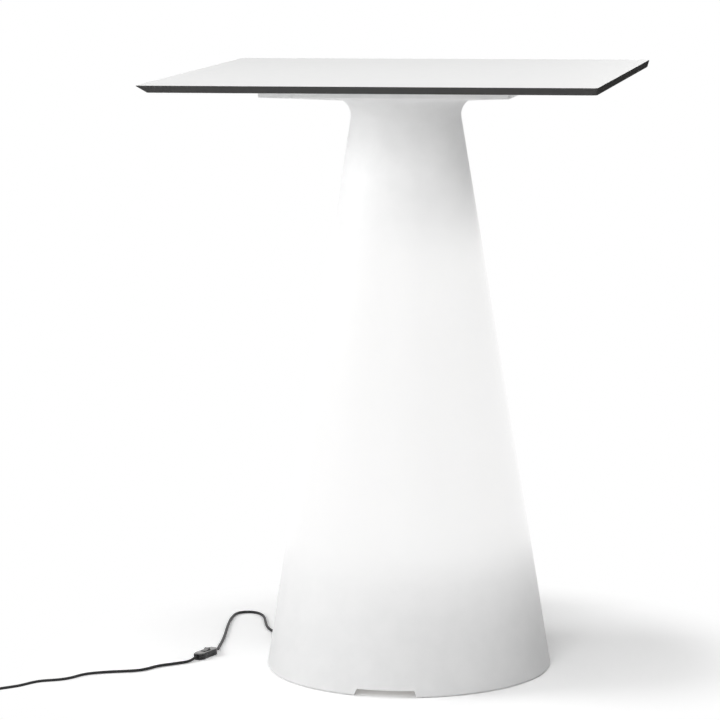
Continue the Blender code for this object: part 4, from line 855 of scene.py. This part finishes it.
def pin(radius: float, low: float, high: float, sides: int, place: Matrix) -> Shape:
    """A round pin that stands on Z between two heights, and is then put in its place."""
    return turned(((radius, low), (radius, high)), sides, place)


def gather(shapes: Iterable[Shape]) -> bpy.types.Mesh:
    """Puts shapes that don't touch into one mesh, and frees them.

    Args:
        shapes: The shapes.

    Returns:
        The mesh.
    """
    whole = bmesh.new()
    for shape in shapes:
        mesh = mesh_of(shape, "helper")
        whole.from_mesh(mesh)
        bpy.data.meshes.remove(mesh)
    return mesh_of(whole, "helper")


def carve(piece: Object, helpers: Iterable[Shape], operation: str) -> None:
    """Cuts or joins helper shapes, and applies that.

    Args:
        piece: The piece that changes.
        helpers: The other shapes, which are freed.
        operation: DIFFERENCE or UNION.
    """
    mesh = gather(helpers)
    tool = add_object("helper", mesh)
    step = piece.modifiers.new("carve", "BOOLEAN")
    step.operation = operation
    step.object = tool
    step.solver = "EXACT"
    step.use_self = operation == "UNION"
    bpy.context.view_layer.update()
    result = bpy.data.meshes.new_from_object(piece.evaluated_get(bpy.context.evaluated_depsgraph_get()))
    piece.modifiers.clear()
    old = piece.data
    piece.data = result
    result.name = piece.name
    bpy.data.meshes.remove(old)
    bpy.data.objects.remove(tool)
    bpy.data.meshes.remove(mesh)
    result.set_sharp_from_angle(angle=SHARP_ANGLE)


@dataclass
class TableTop:
    """The square laminate top with its undercut edge and the bores of its inserts."""

    height: float = 1.100
    side: float = 0.800
    thick: float = 0.013
    lip: float = 0.0015
    undercut: float = 0.0098  # by which the lower face is smaller, on each side
    undercut_shift: float = 0.00725  # of the lower face, along +X
    corner_radius: float = 0.008
    corner_steps: int = 10
    edge_rounding: float = 0.0004
    edge_steps: int = 3
    flat_area: float = 0.0001  # square metres: larger faces are flat
    bore_radius: float = 0.0049
    bore_depth: float = 0.0095
    bore_sides: int = 32
    bore_places: float = 0.190  # from the middle, along each axis

    def board(self) -> Shape:
        """The board: a thin slab whose lower face is drawn down and inwards.

        Returns:
            The board's shape, without its bores.
        """
        shape = bmesh.new()
        low = self.height - self.lip
        bmesh.ops.create_cube(shape, size=1.0)
        bmesh.ops.scale(shape, vec=(self.side, self.side, self.lip), verts=shape.verts)
        bmesh.ops.translate(shape, vec=(0, 0, low + self.lip / 2), verts=shape.verts)
        upright = [e for e in shape.edges if abs(e.verts[0].co.z - e.verts[1].co.z) > self.lip / 2]
        round_edges(shape, upright, self.corner_radius, self.corner_steps)
        under = min(shape.faces, key=lambda f: f.calc_center_median().z)
        made = bmesh.ops.extrude_face_region(shape, geom=[under])["geom"]
        lower = [g for g in made if isinstance(g, Corner)]
        share = 1 - 2 * self.undercut / self.side
        bmesh.ops.scale(shape, vec=(share, share, 1.0), verts=lower)
        bmesh.ops.translate(shape, vec=(self.undercut_shift, 0, self.lip - self.thick), verts=lower)
        bmesh.ops.delete(shape, geom=[under], context="FACES_ONLY")
        rims = [e for e in shape.edges if abs(e.verts[0].co.z - e.verts[1].co.z) < self.lip / 4]
        round_edges(shape, rims, self.edge_rounding, self.edge_steps)
        bmesh.ops.recalc_face_normals(shape, faces=shape.faces)
        return shape

    def lay_core(self, mesh: bpy.types.Mesh) -> None:
        """Gives the dark core to the edge and the bores, and keeps the large faces flat.

        Args:
            mesh: The board's mesh.
        """
        mesh.materials.append(CORE.build())
        low = self.height - self.thick + self.edge_rounding
        high = self.height - NEAR
        for face in mesh.polygons:
            face.material_index = int(low < face.center.z < high)
            face.use_smooth = face.area < self.flat_area

    def build(self, shop: Workshop) -> None:
        """Makes the top and bores it.

        Args:
            shop: Where the pieces are finished.
        """
        board = shop.piece("laminate_board", self.board(), Slot.LAMINATE, ["table_top"])
        low = self.height - self.thick
        bore = self.bore_radius, low - OVERRUN, low + self.bore_depth, self.bore_sides
        carve(board, [pin(*bore, place) for place in four_places(self.bore_places)], "DIFFERENCE")
        self.lay_core(board.data)


@dataclass
class LitBase:
    """The hollow moulded base: round foot, cone, neck and square flange, with its bores."""

    sides: int = 192
    corner_steps: int = 8
    fillet_steps: int = 14
    rim_steps: int = 6
    strip_steps: int = 5  # of the flange's sloping underside
    wall: float = 0.006
    flange_side: float = 0.450
    flange_edge: float = 0.019
    flange_corner: float = 0.005
    flange_slope: float = math.radians(7.8)
    flange_rounding: float = 0.0016
    edge_steps: int = 3  # of the flange's rounded edges
    neck_radius: float = 0.1005
    neck_fillet: float = 0.032
    base_radius: float = 0.264
    rim_fillet: float = 0.0045
    rim_width: float = 0.016
    recess: float = 0.015
    ledge_top: float = 0.021
    opening_radius: float = 0.190
    notch_centre: float = 0.004
    notch_widths: tuple[float, float] = (0.105, 0.1155)  # above and at the floor
    notch_height: float = 0.013
    fixing_inset: float = 0.035  # from the flange's side to a screw of the top
    column_radius: float = 0.018
    pocket_radius: float = 0.0100
    pocket_depth: float = 0.0084
    hole_radius: float = 0.0032
    pad_radius: float = 0.014
    pad_rounding: float = 0.0008
    pad_proud: float = 0.0039  # past the cone at the height of the cord's exit
    pad_inward: float = 0.0035
    thread_radius: float = 0.0063
    cover_screw_inset: float = 0.024  # from the rim's inner side
    pilot_radius: float = 0.0021
    pilot_depth: float = 0.0048
    column_sides: int = 48
    pocket_sides: int = 32
    hole_sides: int = 24
    pilot_sides: int = 16

    def __post_init__(self) -> None:
        """Works out the cone that runs from the foot rim into the neck's fillet."""
        self.fillet_middle = self.neck_radius + self.neck_fillet
        aside = self.neck_fillet * math.sin(self.flange_slope)
        self.flange_low = SHELL_TOP - self.flange_edge
        run = self.flange_side / 2 - self.fillet_middle + aside
        self.slope_start = self.flange_low - run * math.tan(self.flange_slope)
        self.fillet_height = self.slope_start - self.neck_fillet * math.cos(self.flange_slope)
        across = self.fillet_middle - self.base_radius
        line = math.atan2(self.fillet_height, across)
        reach = math.hypot(across, self.fillet_height)
        self.cone_slope = line + math.asin(self.neck_fillet / reach) - QUARTER_TURN
        self.rim_inner = self.base_radius - self.rim_width
        outwards = turn_z(EXIT_ANGLE) @ Matrix.Rotation(QUARTER_TURN, 4, "Y")
        self.exit_axis = Matrix.Translation((0, 0, EXIT_HEIGHT)) @ outwards

    def cone_radius(self, height: float, inset: float = 0.0) -> float:
        """Radius of the cone at a height, or of the skin inside it by inset."""
        return self.base_radius - height * math.tan(self.cone_slope) - inset / math.cos(self.cone_slope)

    def square(self, side: float, height: float) -> Ring:
        """Spots on a square outline of the flange, one for each of a round ring's.

        Args:
            side: The outline's side.
            height: Its height.

        Returns:
            The spots in order, from the middle of the right side.
        """
        corner = self.flange_corner
        quarter = self.sides // 4
        first = (quarter - self.corner_steps) // 2
        middle = side / 2 - corner
        first_share = math.tan(QUARTER_TURN * first / quarter)
        spots = []
        for i in range(self.sides):
            turns, step = divmod(i, quarter)
            angle = QUARTER_TURN * step / quarter
            if step < first:
                x, y = side / 2, middle * math.tan(angle) / first_share
            elif step > first + self.corner_steps:
                x, y = middle / math.tan(angle) / first_share, side / 2
            else:
                bend = QUARTER_TURN * (step - first) / self.corner_steps
                x, y = middle + corner * math.cos(bend), middle + corner * math.sin(bend)
            spots.append(turn_z(QUARTER_TURN * turns) @ Vector((x, y, height)))
        return spots

    def neck(self, inset: float = 0.0) -> list[Ring]:
        """Round rings of the neck's fillet, from the flange down to the cone.

        Args:
            inset: How far the rings lie inside the outer skin.

        Returns:
            The rings in order.
        """
        rings = []
        radius = self.neck_fillet + inset
        for step in range(self.fillet_steps + 1):
            share = step / self.fillet_steps
            angle = (QUARTER_TURN - self.flange_slope) * (1 - share) - self.cone_slope * share
            out = self.fillet_middle - radius * math.cos(angle)
            rings.append(circle(out, self.fillet_height + radius * math.sin(angle), self.sides))
        return rings

    def rim(self) -> list[Ring]:
        """Round rings of the fillet under the foot rim.

        Returns:
            The rings in order.
        """
        middle = self.cone_radius(self.rim_fillet, self.rim_fillet)
        rings = []
        for step in range(self.rim_steps + 1):
            angle = self.cone_slope - (self.cone_slope + QUARTER_TURN) * step / self.rim_steps
            height = self.rim_fillet * (1 + math.sin(angle))
            rings.append(circle(middle + self.rim_fillet * math.cos(angle), height, self.sides))
        return rings

    def flange(self) -> list[Ring]:
        """Square rings of the flange, from its flat top round both rounded edges.

        Returns:
            The rings in order.
        """
        rounding = self.flange_rounding
        rings = []
        for step in range(self.edge_steps + 1):
            angle = QUARTER_TURN * step / self.edge_steps
            side = self.flange_side - 2 * rounding * (1 - math.sin(angle))
            rings.append(self.square(side, SHELL_TOP - rounding * (1 - math.cos(angle))))
        for step in range(self.edge_steps + 1):
            angle = (QUARTER_TURN - self.flange_slope) * step / self.edge_steps
            side = self.flange_side - 2 * rounding * (1 - math.cos(angle))
            height = self.flange_low + rounding * (1 - math.sin(angle))
            rings.append(self.square(side, height))
        return rings

    def between(self, outer: Ring, inner: Ring) -> list[Ring]:
        """Rings that share out the way from one ring to the next."""
        shares = [i / self.strip_steps for i in range(1, self.strip_steps)]
        return [[a.lerp(b, share) for a, b in zip(outer, inner)] for share in shares]

    def skin(self) -> Shape:
        """The whole shell, outside and inside, as one closed skin.

        Returns:
            The shell's shape, without its columns, pad and bores.
        """
        rings = self.flange()
        neck = self.neck()
        rings += self.between(rings[-1], neck[0]) + neck
        foot = self.rim()
        rings += self.between(neck[-1], foot[0]) + foot
        inner_cone = self.cone_radius(self.ledge_top, self.wall)
        for radius, height in (
            (self.rim_inner, 0.0),
            (self.rim_inner, self.recess),
            (self.opening_radius, self.recess),
            (self.opening_radius, self.ledge_top),
            (inner_cone, self.ledge_top),
        ):
            rings.append(circle(radius, height, self.sides))
        rings += reversed(self.neck(self.wall))
        slope = self.flange_slope
        inner_low = self.flange_low + self.wall / math.cos(slope) - self.wall * math.tan(slope)
        inner_side = self.flange_side - 2 * self.wall
        ceiling = self.square(inner_side, SHELL_TOP - self.wall)
        eaves = self.square(inner_side, inner_low)
        rings += self.between(rings[-1], eaves) + [eaves, ceiling]
        return skin(rings)

    def notch(self) -> Shape:
        """The cutter of the notch in the foot rim, a trapezoid along Y.

        Returns:
            The cutter's shape.
        """
        shape = bmesh.new()
        above, floor = (width / 2 for width in self.notch_widths)
        deep = math.sqrt(self.rim_inner**2 - (floor + self.notch_centre) ** 2) - OVERRUN
        low, high = -OVERRUN, self.notch_height
        bmesh.ops.create_cube(shape, size=1.0)
        near = -self.base_radius - OVERRUN
        lean = (floor - above) / self.notch_height
        for vert in shape.verts:
            x, y, z = vert.co
            height = high if z > 0 else low
            half = above + lean * (high - height)
            vert.co = (self.notch_centre + math.copysign(half, x), near if y < 0 else -deep, height)
        return shape

    def build(self, shop: Workshop) -> None:
        """Makes the shell with its columns, pad, pockets and bores.

        Args:
            shop: Where the pieces are finished.
        """
        shell = shop.piece("lit_shell", self.skin(), Slot.LIT_SHELL, ["base_shell"])
        offset = self.flange_side / 2 - self.fixing_inset
        corners = four_places(offset)
        start = self.fillet_middle - self.neck_fillet * math.sin(self.flange_slope)
        share = (math.hypot(offset, offset) - start) / (self.flange_side / 2 * math.sqrt(2) - start)
        skin_height = self.slope_start + share * (self.flange_low - self.slope_start)
        low, high = skin_height + self.wall / 2, SHELL_TOP - self.wall / 2
        pad_outer = self.cone_radius(EXIT_HEIGHT) + self.pad_proud
        pad_inner = self.cone_radius(EXIT_HEIGHT, self.wall) - self.pad_inward
        pad = (
            (self.pad_radius, pad_inner),
            (self.pad_radius, pad_outer - self.pad_rounding),
            (self.pad_radius - self.pad_rounding, pad_outer),
        )
        added = [pin(self.column_radius, low, high, self.column_sides, place) for place in corners]
        added.append(turned(pad, self.column_sides, self.exit_axis))
        carve(shell, added, "UNION")
        roof = skin_height + self.pocket_depth
        pocket = self.pocket_radius, skin_height - OVERRUN, roof, self.pocket_sides
        carve(shell, [pin(*pocket, place) for place in corners], "DIFFERENCE")
        hole = self.hole_radius, roof - OVERRUN, SHELL_TOP + OVERRUN, self.hole_sides
        cuts = [pin(*hole, place) for place in corners]
        thread = self.thread_radius, pad_inner - OVERRUN, pad_outer + OVERRUN, self.pocket_sides
        cuts.append(pin(*thread, self.exit_axis))
        screw_circle = Matrix.Translation((self.rim_inner - self.cover_screw_inset, 0, 0))
        pilot = self.pilot_radius, self.recess - OVERRUN, self.recess + self.pilot_depth, self.pilot_sides
        for quarter in range(4):
            cuts.append(pin(*pilot, turn_z(QUARTER_TURN * (quarter + 1 / 2)) @ screw_circle))
        carve(shell, [*cuts, self.notch()], "DIFFERENCE")


# Cords


CORD_DIAMETER = 0.0052
LIES = 0.0029  # height of the cord's middle where it lies on the floor
CURVE_STEPS = 12  # of the smooth curve, from one point of a route to the next
TO_SWITCH = (
    (-0.2817, 0.1358, 0.0310), (-0.2871, 0.1462, 0.0240), (-0.2912, 0.1583, 0.0149),
    (-0.2950, 0.1705, 0.0075), (-0.2992, 0.1815, 0.0037), (-0.3044, 0.1915, LIES),
    (-0.3120, 0.2040, LIES), (-0.3223, 0.2250, LIES), (-0.3318, 0.2539, LIES),
    (-0.3412, 0.2860, LIES), (-0.3485, 0.3080, LIES), (-0.3567, 0.3242, LIES),
    (-0.3651, 0.3350, LIES), (-0.3740, 0.3413, LIES), (-0.3837, 0.3440, LIES),
    (-0.3935, 0.3422, LIES), (-0.4017, 0.3365, LIES), (-0.4072, 0.3280, LIES),
    (-0.4093, 0.3180, LIES), (-0.4095, 0.3020, LIES), (-0.4083, 0.2783, LIES),
    (-0.4039, 0.2420, LIES), (-0.3966, 0.1944, LIES), (-0.3885, 0.1452, LIES),
    (-0.3828, 0.1046, LIES), (-0.3789, 0.0700, LIES), (-0.3757, 0.0420, 0.0034),
    (-0.3733, 0.0270, 0.0046),
)
TO_COIL = (
    (-0.3993, -0.0578, 0.0052), (-0.4050, -0.0695, 0.0032), (-0.4118, -0.0775, LIES),
    (-0.4207, -0.0855, LIES), (-0.4332, -0.0958, LIES), (-0.4460, -0.1065, LIES),
    (-0.4577, -0.1205, LIES), (-0.4680, -0.1375, LIES), (-0.4798, -0.1505, LIES),
    (-0.4940, -0.1585, LIES), (-0.5212, -0.1685, LIES), (-0.5460, -0.1795, LIES),
    (-0.5616, -0.1890, LIES), (-0.5738, -0.2010, LIES), (-0.5835, -0.2180, LIES),
    (-0.5937, -0.2330, LIES), (-0.6062, -0.2435, LIES), (-0.6196, -0.2505, LIES),
    (-0.6333, -0.2575, LIES), (-0.6450, -0.2680, LIES), (-0.6550, -0.2830, LIES),
    (-0.6655, -0.2985, LIES), (-0.6769, -0.3100, LIES), (-0.6887, -0.3205, LIES),
    (-0.7010, -0.3312, LIES), (-0.7180, -0.3458, 0.0034), (-0.7330, -0.3586, 0.0044),
)
TAIL = (  # along the cord, aside to the coil's middle and on, and up, in the coil's frame
    (0.0140, -0.0340, 0.0213), (0.0240, -0.0325, 0.0198), (0.0350, -0.0286, 0.0172),
    (0.0455, -0.0220, 0.0134), (0.0545, -0.0125, 0.0092), (0.0605, -0.0010, 0.0058),
    (0.0635, 0.0120, 0.0040), (0.0636, 0.0250, 0.0044),
)


def fine_curve(points: Sequence[Vector]) -> np.ndarray:
    """Close points, one in each row, on a smooth curve through a route, free at both ends.

    Args:
        points: The route's points.

    Returns:
        The curve's points.
    """
    knots = np.array([tuple(p) for p in points])
    steps = np.linalg.norm(np.diff(knots, axis=0), axis=1)
    count = len(knots)
    system = np.eye(count)
    pull = np.zeros_like(knots)
    for i in range(1, count - 1):
        before, after = steps[i - 1], steps[i]
        system[i, i - 1 : i + 2] = before, 2 * (before + after), after
        pull[i] = 6 * ((knots[i + 1] - knots[i]) / after - (knots[i] - knots[i - 1]) / before)
    bend = np.linalg.solve(system, pull)
    fine = []
    for i, step in enumerate(steps):
        for share in np.arange(CURVE_STEPS) / CURVE_STEPS:
            rest = 1 - share
            straight = knots[i] * rest + knots[i + 1] * share
            bow = bend[i] * (rest**3 - rest) + bend[i + 1] * (share**3 - share)
            fine.append(straight + bow * step**2 / 6)
    fine.append(knots[-1])
    return np.array(fine)


def even_points(points: Sequence[Vector], step: float) -> list[Vector]:
    """Points at equal steps along the smooth curve through a route.

    Args:
        points: The route's points.
        step: About how far apart the new points lie.

    Returns:
        The new points, both ends among them.
    """
    fine = fine_curve(points)
    walked = np.insert(np.cumsum(np.linalg.norm(np.diff(fine, axis=0), axis=1)), 0, 0.0)
    marks = np.linspace(0.0, walked[-1], round(walked[-1] / step) + 1)
    columns = [np.interp(marks, walked, fine[:, axis]) for axis in range(3)]
    return [Vector(spot) for spot in zip(*columns)]


def length_of(points: Sequence[Vector]) -> float:
    """Length of the line through points."""
    return sum((b - a).length for a, b in zip(points, points[1:]))


@dataclass
class Coil:
    """The round coil of the length that is put away."""

    layers: int = 4
    turns: int = 2  # in each layer
    steps: int = 48  # in each turn
    outer: float = 0.0343
    pitch: float = 0.0058
    climb: float = 0.5  # of a turn, over which the cord climbs a layer
    lift: float = 0.0018  # over the tie's strap

    def __post_init__(self) -> None:
        """Finds the coil's place from the route that leads to it."""
        end = Vector(TO_COIL[-1])
        lead = end - Vector(TO_COIL[-2])
        self.along = Vector((lead.x, lead.y, 0)).normalized()
        self.aside = Vector((self.along.y, -self.along.x, 0))
        self.low = LIES + self.lift
        self.high = self.low + (self.layers - 1) * self.pitch
        start = end.copy()
        start.z = 0
        self.middle = start + (CORD_DIAMETER + GAP) * self.along + self.outer * self.aside

    def spot(self, along: float, aside: float, height: float) -> Vector:
        """A place in the coil's frame, in the part's."""
        return self.middle + along * self.along + aside * self.aside + Vector((0, 0, height))

    def points(self) -> list[Vector]:
        """The spiral in and out again, a layer higher after each turn back.

        Returns:
            The points along the cord, in the part's frame.
        """
        made = []
        total = self.layers * self.turns
        for step in range(total * self.steps + 1):
            turns = step / self.steps
            inward = abs((turns + self.turns) % (2 * self.turns) - self.turns)
            radius = self.outer - self.pitch * inward
            shares = ((turns - layer * self.turns) / self.climb + 1 / 2 for layer in range(1, self.layers))
            climbed = sum(min(max(share, 0.0), 1.0) for share in shares)
            angle = 2 * math.pi * turns
            height = self.low + climbed * self.pitch
            made.append(self.spot(radius * math.sin(angle), -radius * math.cos(angle), height))
        return made


@dataclass
class MainsCord:
    """The black mains cord: from the gland to the switch, and on through the coil to the plug."""

    relief_tip: float = 0.29205  # from the table's axis
    switch_place: tuple[float, float] = (-0.3860, -0.0190)
    switch_heading: float = math.radians(71)
    switch_half: float = 0.031
    switch_cord_height: float = 0.0060
    grip: float = 0.0085
    plug_place: tuple[float, float] = (0.0622, 0.0415)
    plug_heading: float = math.radians(97)
    plug_thick: float = 0.0137
    step: float = 0.004  # from one point of the piece to the next
    round_steps: int = 6  # of a quarter of its section
    coil: Coil = field(default_factory=Coil)

    def switch_spot(self, along: float) -> Vector:
        """A place on the cord's line through the switch."""
        way = turn_z(self.switch_heading) @ Vector((along, 0, 0))
        return Vector((*self.switch_place, self.switch_cord_height)) + way

    def tube(self, name: str, points: Sequence[Vector]) -> Object:
        """A round cord along points, as a curve of one open spline.

        Args:
            name: The piece's name.
            points: The points of its middle line.

        Returns:
            The cord's object.
        """
        curve = bpy.data.curves.new(name, "CURVE")
        curve.dimensions = "3D"
        curve.bevel_depth = CORD_DIAMETER / 2
        curve.bevel_resolution = self.round_steps
        curve.use_fill_caps = True
        line = curve.splines.new("POLY")
        line.points.add(len(points) - 1)
        for point, place in zip(line.points, points):
            point.co = (*place, 1.0)
        line.use_smooth = True
        return add_object(name, curve)

    def build(self, shop: Workshop) -> None:
        """Args:
            shop: Where the pieces are finished.
        """
        way = turn_z(EXIT_ANGLE) @ Vector((1, 0, 0))
        tip = self.relief_tip * way + Vector((0, 0, EXIT_HEIGHT))
        grip = self.switch_half - self.grip
        clear = self.switch_half + CORD_DIAMETER
        first = [tip + 2 * CORD_DIAMETER * way, *map(Vector, TO_SWITCH), self.switch_spot(clear)]
        points = [tip + GAP * way, *even_points(first, self.step), self.switch_spot(grip)]
        lead = self.tube("cord_to_switch", points)
        shop.settle(lead, Slot.CORD, ROOT, "cord_base_to_switch")
        switch = [name for name in frame["nodes"] if name.startswith("switch_")]
        length_of(points)
        [shown(name) for name in switch]
        coil = self.coil
        plug_way = math.cos(self.plug_heading) * coil.along + math.sin(self.plug_heading) * coil.aside
        plug_tip = coil.spot(*self.plug_place, self.plug_thick / 2)
        inlet = [self.switch_spot(-clear), *map(Vector, TO_COIL)]
        outlet = [coil.spot(0, -coil.outer, coil.high) + (CORD_DIAMETER + GAP) * coil.along]
        outlet += [coil.spot(*place) for place in TAIL]
        outlet.append(plug_tip - 2 * CORD_DIAMETER * plug_way)
        points = [self.switch_spot(-grip), *even_points(inlet, self.step), *coil.points()]
        points += [*even_points(outlet, self.step), plug_tip - GAP * plug_way]
        rest = self.tube("cord_to_plug", points)
        shop.settle(rest, Slot.CORD, ROOT, "cord_switch_to_coil", "cord_coil", "cord_coil_to_plug")
        ends = [shown(name) for name in ("plug_body", "plug_pin_1", "plug_pin_2", "coil_tie")]
        self.switch_spot(-self.switch_half)
        length_of(points)


def shown(node: str) -> Object:
    """What stands for a CAD node: the piece that replaces it, or the node itself.

    Args:
        node: The CAD node's name.

    Returns:
        The object.
    """
    for obj in bpy.context.scene.objects:
        if node in obj.get("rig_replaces", []):
            return obj
    return frame["nodes"][node]


# Small parts


FLAT_ANGLE = math.radians(0.5)  # faces of a node that turn less than this are one


@dataclass(frozen=True)
class Softened:
    """A CAD node that shows at close range, and how far its edges are rounded."""

    node: str
    width: float
    steps: int = 2
    body: str = ROOT

    def shape(self) -> Shape:
        """A copy of the node's mesh with its sharp edges rounded.

        Returns:
            The rounded shape.
        """
        shape = bmesh.new()
        shape.from_mesh(frame["nodes"][self.node].data)
        bmesh.ops.remove_doubles(shape, verts=shape.verts, dist=NEAR)
        bmesh.ops.dissolve_limit(
            shape, angle_limit=FLAT_ANGLE, verts=shape.verts, edges=shape.edges, delimit={"NORMAL"}
        )
        sharp = [e for e in shape.edges if len(e.link_faces) == 2 and e.calc_face_angle(0.0) > SHARP_ANGLE]
        round_edges(shape, sharp, self.width, self.steps)
        return shape


@dataclass
class SmallParts:
    """Moulded small parts, whose edges are rounded as a mould leaves them."""

    parts: tuple[Softened, ...] = (
        Softened("switch_lower_shell", 0.0003),
        Softened("switch_upper_shell", 0.0003),
        Softened("switch_rocker", 0.0004, 3, "rocker"),
        Softened("plug_body", 0.0004),
        Softened("gland_body", 0.0004),
        Softened("strain_relief", 0.0004),
        Softened("bottom_cover", 0.0004),
        Softened("terminal_block", 0.0005),
        Softened("ballast_disc", 0.0006),
        Softened("mast_foot", 0.0004),
        Softened("driver_lid", 0.0003),
        Softened("coil_tie", 0.0002),
    )

    def build(self, shop: Workshop) -> None:
        """Replaces each part with its rounded copy.

        Args:
            shop: Where the pieces are finished.
        """
        for part in self.parts:
            slot = shop.node_slots[part.node]
            shop.piece(f"{part.node}_moulded", part.shape(), slot, [part.node], part.body)


# Studio


@dataclass
class PhotoCamera:
    """The camera at the photograph's place, taken from a fit to the picture."""

    focal_px: float = 3237.94
    image_px: int = 720
    sensor_mm: float = 36.0
    place: tuple[float, float, float] = (1.07096, -5.79096, 1.47189)
    yaw: float = -0.19766
    pitch: float = -0.15168
    roll: float = -0.00764
    sees_to: float = 200.0

    def build(self) -> Object:
        """Makes the scene's camera.

        Returns:
            The camera.
        """
        data = bpy.data.cameras.new("photo_camera")
        data.sensor_width = self.sensor_mm
        data.lens = self.focal_px / self.image_px * self.sensor_mm
        data.clip_end = self.sees_to
        camera = add_object("photo_camera", data)
        level = turn_z(-self.yaw) @ Matrix.Rotation(QUARTER_TURN + self.pitch, 4, "X")
        camera.matrix_world = Matrix.Translation(self.place) @ level @ turn_z(self.roll)
        bpy.context.scene.camera = camera
        return camera


@dataclass(frozen=True)
class Softbox:
    """One square area lamp that faces a point."""

    name: str
    place: tuple[float, float, float]
    faces: tuple[float, float, float]
    side: float
    watts: float

    def build(self) -> None:
        """Makes the lamp."""
        data = bpy.data.lights.new(self.name, "AREA")
        data.shape = "SQUARE"
        data.size = self.side
        data.energy = self.watts
        turn = (Vector(self.faces) - Vector(self.place)).to_track_quat("-Z", "Y")
        add_object(self.name, data).matrix_world = Matrix.Translation(self.place) @ turn.to_matrix().to_4x4()


@dataclass
class Studio:
    """Pale floor, white background and soft lamps."""

    floor_half: float = 60.0
    floor_drop: float = 0.0002  # below the feet, so that no faces coincide
    floor_grey: float = 0.90
    floor_lift: float = 0.375  # more of the lamps' light that the camera gets from the floor
    clear_from: float = 0.48  # metres from the middle, past which the floor goes to plain white
    clear_to: float = 0.73
    sky: float = 0.16
    lamps: tuple[Softbox, ...] = (
        Softbox("side", (-2.6, -0.6, 1.6), (0.0, 0.0, 0.6), 1.4, 36.5),
        Softbox("front", (0.0, -3.6, 2.0), (0.0, 0.0, 0.6), 1.6, 52.0),
        Softbox("fill", (2.6, -1.0, 1.6), (0.0, 0.0, 0.6), 1.4, 4.0),
        Softbox("back", (0.8, 3.4, 2.0), (0.0, 0.0, 0.6), 1.6, 18.0),
        Softbox("top", (0.2, -0.3, 3.4), (0.0, 0.0, 1.0), 2.0, 35.0),
    )

    def floor(self) -> None:
        """The floor: it keeps the object's shadow, and is plain white far off."""
        shape = bmesh.new()
        bmesh.ops.create_grid(shape, x_segments=1, y_segments=1, size=self.floor_half)
        plane = add_object("floor", mesh_of(shape, "floor"))
        plane.location.z = -self.floor_drop
        plane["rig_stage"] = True
        look = bpy.data.materials.new("floor")
        look.use_nodes = True
        nodes = Nodes(look.node_tree)
        place = nodes.add("TexCoord").outputs["Object"]
        far = nodes.add("VectorMath", place, operation="LENGTH").outputs["Value"]
        away = nodes.span(far, self.clear_from, self.clear_to)
        seen = seen_rays(nodes)
        cloth = nodes.add("BsdfDiffuse", (self.floor_grey,) * 3 + (1.0,), 0.0)
        lift = nodes.maths("MULTIPLY", seen, self.floor_lift)
        more = nodes.add("BsdfDiffuse", nodes.add("CombineColor", lift, lift, lift).outputs[0], 0.0)
        near = nodes.add("AddShader", cloth.outputs[0], more.outputs[0])
        white = nodes.add("Emission", (*WHITE, 1.0), 1.0)
        share = nodes.maths("MULTIPLY", away, seen)
        both = nodes.add("MixShader", share, near.outputs[0], white.outputs[0])
        nodes.add("OutputMaterial", both.outputs[0])
        dress(plane, look)

    def world(self) -> None:
        """An even sky that the camera, metal and glass see as white."""
        world = bpy.data.worlds.new("studio")
        bpy.context.scene.world = world
        world.use_nodes = True
        nodes = Nodes(world.node_tree)
        seen = seen_rays(nodes)
        strength = nodes.maths("ADD", self.sky, nodes.maths("MULTIPLY", seen, 1.0 - self.sky))
        sky = nodes.add("Background", (*WHITE, 1.0), strength)
        nodes.add("OutputWorld", sky.outputs[0])

    def build(self) -> None:
        """Sets the stage."""
        self.floor()
        self.world()
        for lamp in self.lamps:
            lamp.build()
        bpy.context.scene.view_settings.view_transform = "Standard"


def main() -> None:
    """Builds the object's looks piece by piece, and the studio round them."""
    logging.basicConfig(level=logging.INFO, format="%(name)s: %(message)s")
    camera = PhotoCamera().build()
    log.info("%s: %.1f mm", camera.name, camera.data.lens)
    shop = Workshop()
    shop.prepare()
    SmallParts().build(shop)
    MainsCord().build(shop)
    TableTop().build(shop)
    LitBase().build(shop)
    Studio().build()
    boxes = {"cad": CAD_BOX, "visual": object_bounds()}
    {name: [list(corner) for corner in box] for name, box in boxes.items()}


if __name__ == "__main__":
    main()
